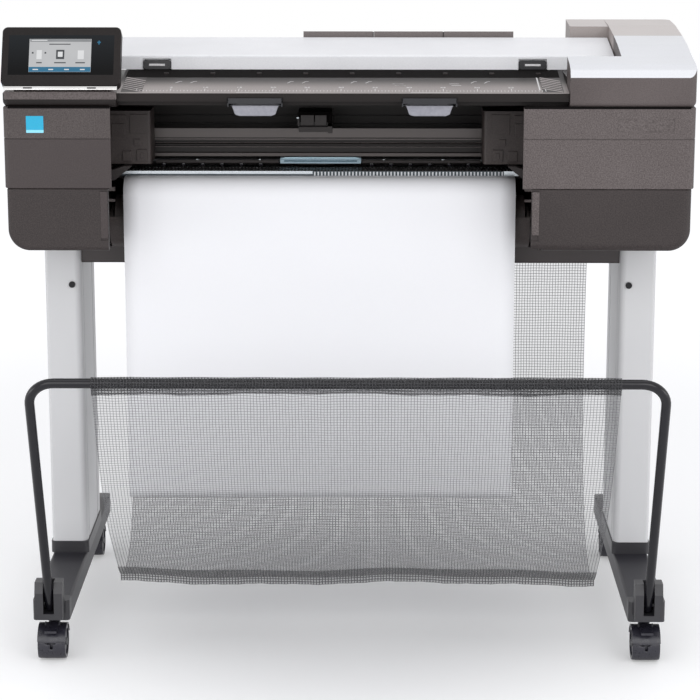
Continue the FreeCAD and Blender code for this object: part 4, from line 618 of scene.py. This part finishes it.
# ---------------------------------------------------------------- scanner housing
# The scanner's lower housing is one ABS moulding on top of the covers. Its top faces are silk finished where
# sheets slide and are painted pale for the bright room reflected in them, and painted dark near the feed slot
# for the shadow of the lid; its upright faces keep the dark grain.
def two_tone_or_painted_light_abs(name, side_dark, side_light, top_dark, top_light, rough_side, rough_top, worn=None,
                 grain_mm=1.6, cloud_mm=200):
    """Moulded ABS whose upward faces have another finish and tone than its upright ones: the silver lacquer
    of the cap, and elsewhere a pale tone that is painted light. The tops may be painted dark from one place
    along Y, fading to their own tone at another (worn: both places in metres and the shadow's tone)."""
    made, tree, place = material(name)
    facing = add(tree, "TexCoord").outputs["Normal"]
    up = add(tree, "SeparateXYZ", inputs={0: facing}).outputs["Z"]
    top = add(tree, "MapRange", inputs={0: up, 1: 0.3, 2: 0.42})
    grain = add(tree, "TexNoise", inputs={
        "Vector": place, "Scale": 1000 / grain_mm, "Detail": 2.0, "Roughness": 0.7})
    cloud = add(tree, "TexNoise", inputs={"Vector": place, "Scale": 1000 / cloud_mm, "Detail": 2.0})
    mottle = add(tree, "Mix", {"data_type": "FLOAT"}, {0: 0.5, 2: grain, 3: cloud})
    spread = add(tree, "MapRange", inputs={0: mottle, 1: 0.32, 2: 0.68})
    upright = add(tree, "Mix", {"data_type": "RGBA"}, {0: spread, 6: side_dark, 7: side_light})
    flat = add(tree, "Mix", {"data_type": "RGBA"}, {0: spread, 6: top_dark, 7: top_light})
    if worn:
        along = add(tree, "SeparateXYZ", inputs={0: place}).outputs["Y"]
        shadow_fade = add(tree, "MapRange", {"interpolation_type": "SMOOTHSTEP"}, {
            0: along, 1: worn[0], 2: worn[1]})
        flat = add(tree, "Mix", {"data_type": "RGBA"}, {0: shadow_fade, 6: worn[2], 7: flat})
    colour = add(tree, "Mix", {"data_type": "RGBA"}, {0: top, 6: upright, 7: flat})
    polish = add(tree, "MapRange", inputs={0: top, 3: rough_side, 4: rough_top})
    relief = add(tree, "Bump", inputs={
        "Strength": 0.35, "Distance": grain_mm * 0.1 * MM, "Height": grain})
    finish(tree, add(tree, "BsdfPrincipled", inputs={
        "Base Color": colour, "IOR": 1.5, "Roughness": polish,
        "Specular IOR Level": 0.22, "Normal": relief}))
    return made


# Painted light and shade: the tray's pale top stands in for the bright room reflected in dark ABS, and it is
# painted dark behind Y -35 mm, fading out by Y -100 mm, for the lid's shadow.
tray_abs = two_tone_or_painted_light_abs("abs_with_painted_lit_top", "#130f0e", "#1e1817", "#857d7b", "#a19996", 0.5, 0.42,
                        (-0.035, -0.1, "#1a1514"))
dress(tray_abs, "scanner_base")
# A band of the lighter copy of the ABS across the scanner's left end: painted light on that end.
lit_end_band = [((-503, -133.9, 839.5), (-339, -131.6, 851.5))]
box_piece("left_end_lit_band", lit_end_band, 1.9, lit_copy_abs, steps=4)

# The input tray slopes from its front lip up to the scan bed.
tray_front_y, tray_front_z, tray_back_y, tray_back_z = -125.0, 848.0, 19.0, 866.0


def tray_z(y):
    """Height of the tray's surface in millimetres."""
    return tray_front_z + (y - tray_front_y) * (tray_back_z - tray_front_z) / (tray_back_y - tray_front_y)


def tray_strips(name, strips, made, height=0.12):
    """A piece of thin strips on the tray: each is (x1, y1, x2, y2, width) in millimetres."""
    shape = bmesh.new()
    for x1, y1, x2, y2, wide in strips:
        along = Vector((x2 - x1, y2 - y1, 0)).normalized()
        off = Vector((-along.y, along.x, 0)) * wide / 2
        start, end = Vector((x1, y1, 0)), Vector((x2, y2, 0))
        ends = [start - off, start + off, end + off, end - off]
        base = [shape.verts.new((p.x * MM, p.y * MM, (tray_z(p.y) - 0.05) * MM)) for p in ends]
        top = [shape.verts.new((p.x * MM, p.y * MM, (tray_z(p.y) + height) * MM)) for p in ends]
        shape.faces.new(base)
        shape.faces.new(top)
        for i in range(4):
            j = (i + 1) % 4
            shape.faces.new((base[i], base[j], top[j], top[i]))
    new_piece(finished_mesh(name, shape), made)


# Pad printed ink: white, a little thin where the tray's grain shows through.
pad_ink = mottled("pad_printed_white_ink", "#b5b2b2", "#f2f1f1", 1.4286, 2.0, 0.5, shader={"IOR": 1.45})

# A ruler along the front of the tray: a tick every 5 mm, a longer one with a number every 50 mm, and plain
# marks for the usual sheet sizes.
ruler_start, tick_step, number_y = -312, 5, -92
ruler = []
for i in range(121):
    x = ruler_start + i * tick_step
    ruler.append((x, -113, x, -97, 1.0) if i % 10 == 0 else (x, -113, x, -106, 0.8))
tray_strips("tray_ruler", ruler, pad_ink)
marks = [(279.5, -104, 279.5, -14, 2.0)]
for x in (-258, -236, -92, -70, 24, 2, 180, 200):
    marks += [(x, -62, x + 5, -52, 1.2), (x + 5, -52, x + 9, -52, 1.2)]
marks += [(-165, -119, -102, -119, 1.2), (90, -119, 149, -119, 1.2)]
for x in (64, 66, 148):
    marks += [(x, -66, x + 14, -66, 1.3), (x + 3, -76, x + 17, -76, 1.3)]
tray_strips("tray_marks", marks, pad_ink)

slope = math.atan2(tray_back_z - tray_front_z, tray_back_y - tray_front_y)
digits = bmesh.new()
for i in range(1, 12):
    words = bpy.data.curves.new("ruler_number", "FONT")
    words.body, words.size, words.align_x, words.extrude = str(i * tick_step), 9 * MM, "CENTER", 0.1 * MM
    words.resolution_u = 2
    ghost = bpy.data.objects.new("ruler_number", words)
    flat = bpy.data.meshes.new_from_object(ghost)
    spot = Vector(((ruler_start + i * 10 * tick_step) * MM, number_y * MM, (tray_z(number_y) + 0.05) * MM))
    flat.transform(Matrix.Translation(spot) @ Matrix.Rotation(slope, 4, "X"))
    digits.from_mesh(flat)
    bpy.data.objects.remove(ghost)
new_piece(finished_mesh("ruler_numbers", digits, outward=False), pad_ink)

# Diagonal ribs moulded into both ends of the tray steady a stiff sheet. The real ones are 4 mm apart; at 11
# mm they can still be told apart. The ribs are drawn paler for the light on their tops and stand on dark
# fields for the shade between them: painted highlight and painted shade.
rib_pitch = 11.0
ribs = [(low_x, y + 22, high_x, y, 2.2) for low_x, high_x in ((-334, -304), (284, 313))
        for y in (-116 + i * rib_pitch for i in range(7))]
lit_rib_abs = abs_grain("rib_abs_painted_highlight", "#a29a98", "#bbb3b1", 0.4, 1.0, 0.2)
tray_strips("tray_grip_ribs", ribs, lit_rib_abs, 0.5)
rib_shade_fields = [(x, -118, x, -27, 31) for x in (-319, 298.5)]
tray_strips("tray_grip_shade_fields", rib_shade_fields, bracket_abs, 0.08)

# A deep black strip with no gloss at all lines the feed slot under the lid: painted shade cast by the lid.
slot_shade_black = mottled("black_painted_slot_shade", "#050404", "#100d0d", 0.8333, 4.0, 0.95, (0.6, 0.3),
               {"Specular IOR Level": 0.1})
slot_outline = [(-27, tray_z(-27) - 0.2), (19, 865.8), (26, 865.8), (26, 866.3), (19, 866.3),
                (-27, tray_z(-27) + 0.25)]
new_piece(prism_mesh("feed_slot_shade", slot_outline, -336, 314), slot_shade_black)
stops = [((x, -8, tray_z(-8) - 0.2), (x + 7, -2, tray_z(-2) + 1.6)) for x in range(-280, 290, 70)]
box_piece("feed_slot_stops", stops, 0.4, inner_abs)

# The scan glass is float glass with a trace of dust.
bed_glass, tree, place = material("float_glass")
dust_mm = 16.667
dust = add(tree, "TexNoise", inputs={"Vector": place, "Scale": 1000 / dust_mm, "Detail": 4.0})
polish = add(tree, "MapRange", inputs={0: dust, 3: 0.03, 4: 0.1})
finish(tree, add(tree, "BsdfPrincipled", inputs={
    "Base Color": "#8fa39f", "Roughness": polish, "IOR": 1.52, "Alpha": 0.55}))
dress(bed_glass, "scan_glass")


# ---------------------------------------------------------------- scan lid
# The lid is an ABS moulding in warm white with a silk finish, hinged at the back and held by two glossy
# black latches. A white bar is printed on each latch.
lid_abs = abs_grain("silk_white_moulded_abs", "#e0e0e2", "#ececee", 0.4, 2.2, 0.12, 0.3, 0.3)
dress(lid_abs, "scan_lid")
dress(latch_abs, "left_lid_latch", "right_lid_latch")
for side in ("left", "right"):
    (x1, y, z1), (x2, _, _) = box_mm(side + "_lid_latch")
    x, z = (x1 + x2) / 2, z1 + 5.0
    box_piece(side + "_latch_bar", [((x - 12, y - 0.5, z), (x + 12, y + 0.5, z + 3.2))], 0.4, pad_ink,
              side + "_lid_latch")


# ---------------------------------------------------------------- right end of the scanner
# The right cap has a silver lacquered top over the same dark sides. The raised cover behind it is painted a
# light taupe, lighter on its top, for the bright room reflected in it: painted reflection. Two dark blocks
# fill the gaps of the grey sheet support: painted shade.
cap_lacquer = two_tone_or_painted_light_abs("silver_lacquered_abs", "#453e3d", "#635b5a", "#d4d5d8", "#e0e1e4", 0.44, 0.3)
dress(cap_lacquer, "right_top_cap")
# Painted reflection: a light taupe, lighter on the tops, stands in for the bright room mirrored in the nearly
# flat cover.
painted_reflection_abs = two_tone_or_painted_light_abs("taupe_abs_with_painted_reflection", "#968e8b", "#a8a09c", "#bbb4b1", "#c8c1be", 0.45, 0.36)
dress(painted_reflection_abs, "raised_back_cover")
dress(flap_abs, "sheet_support")
# Painted shade: dark blocks fill the gaps between the support's segments.
links = [((x, 146.4, 888.8), (x + 5, 149.6, 912.4)) for x in (31, 141)]
box_piece("sheet_support_gap_shade", links, 0.4, bracket_abs, "sheet_support")


# ---------------------------------------------------------------- control panel
# A housing of dark satin ABS that leans back on its bracket, with a black glass front, a lit colour
# display and a bright plated strip along its lower edge.
dress(bracket_abs, "panel_bracket")
panel_abs = abs_grain("satin_dark_moulded_abs", "#120e0e", "#1e1918", 0.45, 2.0, 0.25, 0.5, 0.2)
dress(panel_abs, "control_panel")
panel_corner, panel_lean = Vector((-506.5, -141, 861)) * MM, math.radians(-28)
panel_frame = Matrix.Translation(panel_corner) @ Matrix.Rotation(panel_lean, 4, "X")


def on_panel(mesh, made):
    """A piece that is drawn in the panel's own plane and leans with it."""
    mesh.transform(panel_frame)
    new_piece(mesh, made, "control_panel")


# Glass painted black on its back: a deep, very smooth front with slight smears. It is painted a little paler
# towards the top: a painted reflection.
cover_glass, tree, place = material("black_backed_cover_glass")
smear_mm, foot_z, head_z = 28.571, 880 * MM, 930 * MM
smear = add(tree, "TexNoise", inputs={"Vector": place, "Scale": 1000 / smear_mm, "Detail": 3.0})
polish = add(tree, "MapRange", inputs={0: smear, 3: 0.04, 4: 0.12})
height = add(tree, "SeparateXYZ", inputs={0: place}).outputs["Z"]
painted_reflection_rise = add(tree, "MapRange", inputs={0: height, 1: foot_z, 2: head_z})
colour = add(tree, "Mix", {"data_type": "RGBA"}, {0: painted_reflection_rise, 6: "#050506", 7: "#1b1e21"})
finish(tree, add(tree, "BsdfPrincipled", inputs={
    "Base Color": colour, "Roughness": polish, "IOR": 1.5, "Specular IOR Level": 0.15}))
dress(cover_glass, "panel_screen")


def lit(name, low, high, strength=0.8, cloud_mm=25):
    """A lit patch of the display: light from behind, faintly uneven, under smooth glass."""
    made, tree, place = material(name)
    uneven = add(tree, "TexNoise", inputs={"Vector": place, "Scale": 1000 / cloud_mm, "Detail": 2.0})
    colour = add(tree, "Mix", {"data_type": "RGBA"}, {0: uneven, 6: low, 7: high})
    finish(tree, add(tree, "BsdfPrincipled", inputs={
        "Base Color": "#050505", "Roughness": 0.12, "Emission Color": colour,
        "Emission Strength": strength}))
    return made


# Layers of the display from back to front: name, finish, front face, and patches as (x1, z1, x2, z2).
display_blue = lit("lit_display_blue", "#1a6a8e", "#227ca4")
for name, look, front, patches in [
        ("display_field", lit("lit_display_grey", "#c4c5c7", "#d2d3d5"), -0.15, [(40, 21, 130.5, 72.5)]),
        ("display_header", lit("lit_display_header", "#8b8d90", "#9fa1a4"), -0.25, [(41, 68, 130, 72.3)]),
        ("display_bar", display_blue, -0.25, [(40.2, 21.2, 130.3, 28.8)]),
        ("display_icons_dark", lit("lit_display_dark", "#3a3d42", "#4a4d52"), -0.25,
         [(79.5, 41, 91.5, 55.5), (51, 34.5, 59, 36.2), (77, 34.5, 94, 36.2), (108, 34.5, 122, 36.2),
          (44, 49.5, 46.5, 52), (62.5, 49.5, 65, 52), (69, 63.5, 100, 65)]),
        ("display_icons_white", lit("lit_display_white", "#e9eaec", "#f6f7f8"), -0.35,
         [(51, 41, 58.5, 55), (82, 44.5, 89, 52.5), (111, 41, 120, 54.5), (46, 24, 54, 25.6),
          (69, 24, 76, 25.6), (92, 24, 99, 25.6), (115, 24, 122, 25.6), (43, 69.6, 66, 70.9)]),
        ("help_mark", display_blue, -0.15, [(139, 66.5, 144, 68.2), (140.7, 64, 142.4, 70)])]:
    boxes = [((x1, front, z1), (x2, front + 0.2, z2)) for x1, z1, x2, z2 in patches]
    on_panel(boxes_mesh(name, boxes), look)

# Bright nickel plate over ABS: a clear mirror with a slight haze.
plated = mottled("bright_nickel_plate", "#cfcdcb", "#efefef", 33.333, 3.0, (0.1, 0.24),
                 shader={"Metallic": 1.0})
strip_outline = [(1, -5.8), (1, -0.2), (6.5, -0.2), (6.5, -3.4), (4.5, -5.8)]
on_panel(prism_mesh("panel_plated_strip", strip_outline, 4, 169.5, round_mm=0.8), plated)
notches = [((x, 0.6, -4.6), (x + 13, 1.4, -2.4)) for x in (33, 126)]
on_panel(boxes_mesh("panel_strip_notches", notches, 0.2), inner_abs)


# ---------------------------------------------------------------- paper deflectors
# Two clear tabs that hang from dark clips on the tray's lip and steer scanned sheets down. Each blade
# narrows to rounded lower corners and curls forward a little at its lower edge.
# Thermoformed acetate with a frosted face: greyish, half clear, with soft highlights.
acetate = mottled("frosted_clear_acetate", "#8a8a93", "#a9a9b2", 4.5455, 3.0, 0.22, (0.2, 0.1),
                  {"IOR": 1.47, "Alpha": 0.86})
barrel_y, barrel_drop, blade_rows, blade_columns = -118.0, 3.4, 12, 24
for side in ("left", "right"):
    (x1, _, end), (x2, _, top) = box_mm(side + "_deflector")
    top -= barrel_drop
    rows = []
    for down in [i / blade_rows for i in range(blade_rows + 1)]:
        squeeze = 5 + 7 * max(0.0, down - 0.12) ** 0.7
        if down > 0.82:
            squeeze += 6 * ((down - 0.82) / 0.18) ** 2
        bow = -1.9 * math.sin(down * math.pi * 0.75) + 0.5
        wide = x2 - x1 - 2 * squeeze
        rows.append([(x1 + squeeze + wide * k / blade_columns, barrel_y + bow, top - down * (top - end))
                     for k in range(blade_columns + 1)])
    blade = new_piece(grid_mesh(side + "_deflector_blade", rows), acetate, side + "_deflector")
    thicken(blade, 1.4)
    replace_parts(blade, side + "_deflector")
    ends = [(x1 + 0.5, barrel_y, top), (x2 - 0.5, barrel_y, top)]
    barrel = tube_mesh(side + "_deflector_barrel", ends, 3.2, 20)
    new_piece(barrel, latch_abs, side + "_deflector")
    clip = [((x1, -128.4, 833.2), (x2, -125.1, 841.4)), ((x1, -128.4, 828.6), (x1 + 2.2, -119, 841.4)),
            ((x2 - 2.2, -128.4, 828.6), (x2, -119, 841.4))]
    box_piece(side + "_deflector_clip", clip, 0.5, latch_abs)


# ---------------------------------------------------------------- media basket
# A sling of open woven polyester mesh hangs in a deep curve between a sleeve round the tube and a rod
# behind the printer. The real weave is finer, about 2 mm; drawn 4.5 mm apart and 0.8 mm thick, its
# threads can still be told apart. Doubled cloth looks denser.
def woven_mesh(name, half, veil, dark, light, gap_mm=4.5, edge=0.03, wander=0.0016,
               wobble_mm=33.333, twist_mm=1.1111):
    """Open mesh cloth: threads both ways, drawn from the cloth's own flat coordinates in metres; half is
    half a thread as a share of the gap. Between them run finer filaments, too thin to draw one by one,
    that veil the holes by the given share."""
    made, tree, place = material(name)
    where = add(tree, "UVMap", {"uv_map": "weave"})
    wobble = add(tree, "TexNoise", inputs={"Vector": place, "Scale": 1000 / wobble_mm, "Detail": 2.0})
    drift = add(tree, "VectorMath", {"operation": "MULTIPLY_ADD"}, {
        0: wobble.outputs["Color"], 1: (wander, wander, 0), 2: where})
    axes = add(tree, "SeparateXYZ", inputs={0: drift})
    threads = []
    for axis in ("X", "Y"):
        count = add(tree, "Math", {"operation": "MULTIPLY"}, {0: axes.outputs[axis], 1: 1000 / gap_mm})
        part = add(tree, "Math", {"operation": "FRACT"}, {0: count})
        middle = add(tree, "Math", {"operation": "SUBTRACT"}, {0: part, 1: 0.5})
        away = add(tree, "Math", {"operation": "ABSOLUTE"}, {0: middle})
        threads.append(add(tree, "MapRange", {"clamp": True}, {0: away, 1: half + edge, 2: half - edge}))
    cover = add(tree, "Math", {"operation": "MAXIMUM"}, {0: threads[0], 1: threads[1]})
    cover = add(tree, "MapRange", inputs={0: cover, 3: veil, 4: 0.9})
    twist = add(tree, "TexNoise", inputs={"Vector": place, "Scale": 1000 / twist_mm, "Detail": 2.0})
    colour = add(tree, "Mix", {"data_type": "RGBA"}, {0: twist, 6: dark, 7: light})
    finish(tree, add(tree, "BsdfPrincipled", inputs={
        "Base Color": colour, "Roughness": 0.6, "Alpha": cover}))
    return made


mesh_cloth = woven_mesh("open_woven_polyester_mesh", 0.085, 0.25, "#565658", "#767679")
doubled_cloth = woven_mesh("doubled_polyester_mesh", 0.17, 0.4, "#29292b", "#4e4e51")
sleeve_cloth = woven_mesh("dark_sleeve_polyester_mesh", 0.1, 0.3, "#252527", "#3c3c3f")

(sling_x, _, _), (sling_end, _, _) = box_mm("basket_sling")
sling_width, leg, leg_lean = sling_end - sling_x, 406, math.radians(22.4)
bar_y, bar_z = -214 - leg * math.sin(leg_lean), 96 + leg * math.cos(leg_lean)
rod_y, rod_z = 200.0, 588.0
# Places along the sling's section, from the tube down, round its lowest part and up to the rod.
hang = [(bar_y, bar_z - 8.6), (-345, 401), (-316, 338), (-280, 277), (-236, 220), (-186, 172), (-140, 133),
        (-104, 106), (-76, 93), (-45, 88), (-15, 87), (20, 93), (58, 108), (96, 141), (130, 185), (157, 240),
        (177, 304), (189, 376), (196, 450), (199, 520), (rod_y, rod_z - 5.6)]


def smooth_path(points, steps):
    """A smooth line through points, with the given number of steps between each two."""
    spots = [Vector(p) for p in points]
    spots = [2 * spots[0] - spots[1]] + spots + [2 * spots[-1] - spots[-2]]
    line = []
    for a, b, c, d in zip(spots, spots[1:], spots[2:], spots[3:]):
        for t in [i / steps for i in range(steps)]:
            line.append(0.5 * ((2 * b) + (c - a) * t + (2 * a - 5 * b + 4 * c - d) * t * t
                               + (3 * b - a - 3 * c + d) * t ** 3))
    return line + [spots[-2]]


def runs(line):
    """How far along a line each of its points lies."""
    far = [0.0]
    for a, b in zip(line, line[1:]):
        far.append(far[-1] + (b - a).length)
    return far


section = smooth_path(hang, 6)
lengths = runs(section)
bottom = min(range(len(section)), key=lambda i: section[i].y)
across_count = 100


def sling_spot(i, across):
    """A place on the sling in millimetres: gentle waves grow away from the tube and the rod."""
    point, share = section[i], lengths[i] / lengths[-1]
    hold = math.sin(share * math.pi)
    draw_in = 5.0 * hold * (1 if across < 0.5 else -1) * (abs(across - 0.5) * 2) ** 3
    sag = waves(across, (2.6 * hold, 9.3, share * 5.0), (1.4 * hold, 23.0, -share * 13.0))
    pucker = waves(across, (1.3 * math.exp(-share * 34), 61.0, waves(across, (3, 17.0, 0))))
    ahead = section[min(i + 1, len(section) - 1)] - section[max(i - 1, 0)]
    out = Vector((-ahead.y, ahead.x)).normalized()
    lift = waves(across, (0.6 * math.exp(-((i - bottom) / 16) ** 2), 5.2, 0.6))
    return (sling_x + sling_width * across + draw_in, point.x + (sag + pucker) * out.x,
            point.y + (sag + pucker) * out.y + lift)


rows = [[sling_spot(i, k / across_count) for k in range(across_count + 1)] for i in range(len(section))]
weave_across = [sling_width * k / across_count * MM for k in range(across_count + 1)]
sling_mesh = grid_mesh("mesh_sling", rows, weave=(weave_across, [run * MM for run in lengths]))
sling = new_piece(sling_mesh, mesh_cloth, None)
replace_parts(sling, "basket_sling")
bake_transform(sling)

# A doubled hem is sewn along the front of the sling's lowest part; its edge hangs down a little.
hem_rows = [i for i in range(len(section)) if -132 < section[i].x < -88 and section[i].y < 200]
rows = []
for n in range(len(hem_rows) + 3):
    i, drop = hem_rows[min(n, len(hem_rows) - 1)], max(0, n - len(hem_rows) + 1)
    row = []
    for k in range(across_count + 1):
        x, y, z = sling_spot(i, k / across_count)
        wave = waves(k, (0.9, 0.71, 0), (0.6, 1.9, 1))
        row.append((x, y - 1.0 + 0.6 * drop + 0.3 * wave, z - 0.9 - 3.6 * drop + 0.15 * wave * drop))
    rows.append(row)
hem_run = runs([Vector([c * MM for c in row[across_count // 2]]) for row in rows])
hem_mesh = grid_mesh("sling_hem", rows, weave=(weave_across, hem_run))
sling_hem = new_piece(hem_mesh, doubled_cloth)

# The sleeve goes once round the tube; under it both ends are sewn together into a gathered, doubled hem.
random.seed(5)
phases = [random.uniform(0, 6.28) for _ in range(4)]
along_count, round_steps, hem_steps, hem_drop = 240, 24, 8, 7.0


def round_spot(across, j):
    """The sleeve lies round the tube."""
    angle = math.radians(-76 + 332 * j / round_steps)
    radius = 9.1 + 0.25 * math.sin(across * 50 + j * 0.4)
    return bar_y + radius * math.cos(angle), bar_z + radius * math.sin(angle)


def hem_spot(across, j):
    """The hem goes down in front of its seam and up again behind it."""
    half = hem_steps // 2
    down = 1 - abs(j - half) / half
    droop = waves(across, (1.3, 9, phases[0]), (0.9, 31, phases[1]))
    ripple = waves(across, (1.1, 74, phases[2]), (0.7, 143, phases[3]))
    side = -1 if j < half else 1
    return (bar_y + side * (2.2 - 1.6 * down) * (j != half) + ripple * (0.3 + 0.7 * down),
            bar_z - 8.6 - hem_drop * down + droop * down)


for name, spot, steps, length_mm in (("mesh_sleeve", round_spot, round_steps, 52.7),
                                     ("sleeve_hem", hem_spot, hem_steps, 16.2)):
    shares = [k / along_count for k in range(along_count + 1)]
    rows = [[(sling_x + sling_width * across, *spot(across, j)) for across in shares]
            for j in range(steps + 1)]
    weave = ([sling_width * across * MM for across in shares],
             [length_mm * j / steps * MM for j in range(steps + 1)])
    piece = new_piece(grid_mesh(name, rows, weave=weave), sleeve_cloth, "basket_bar")
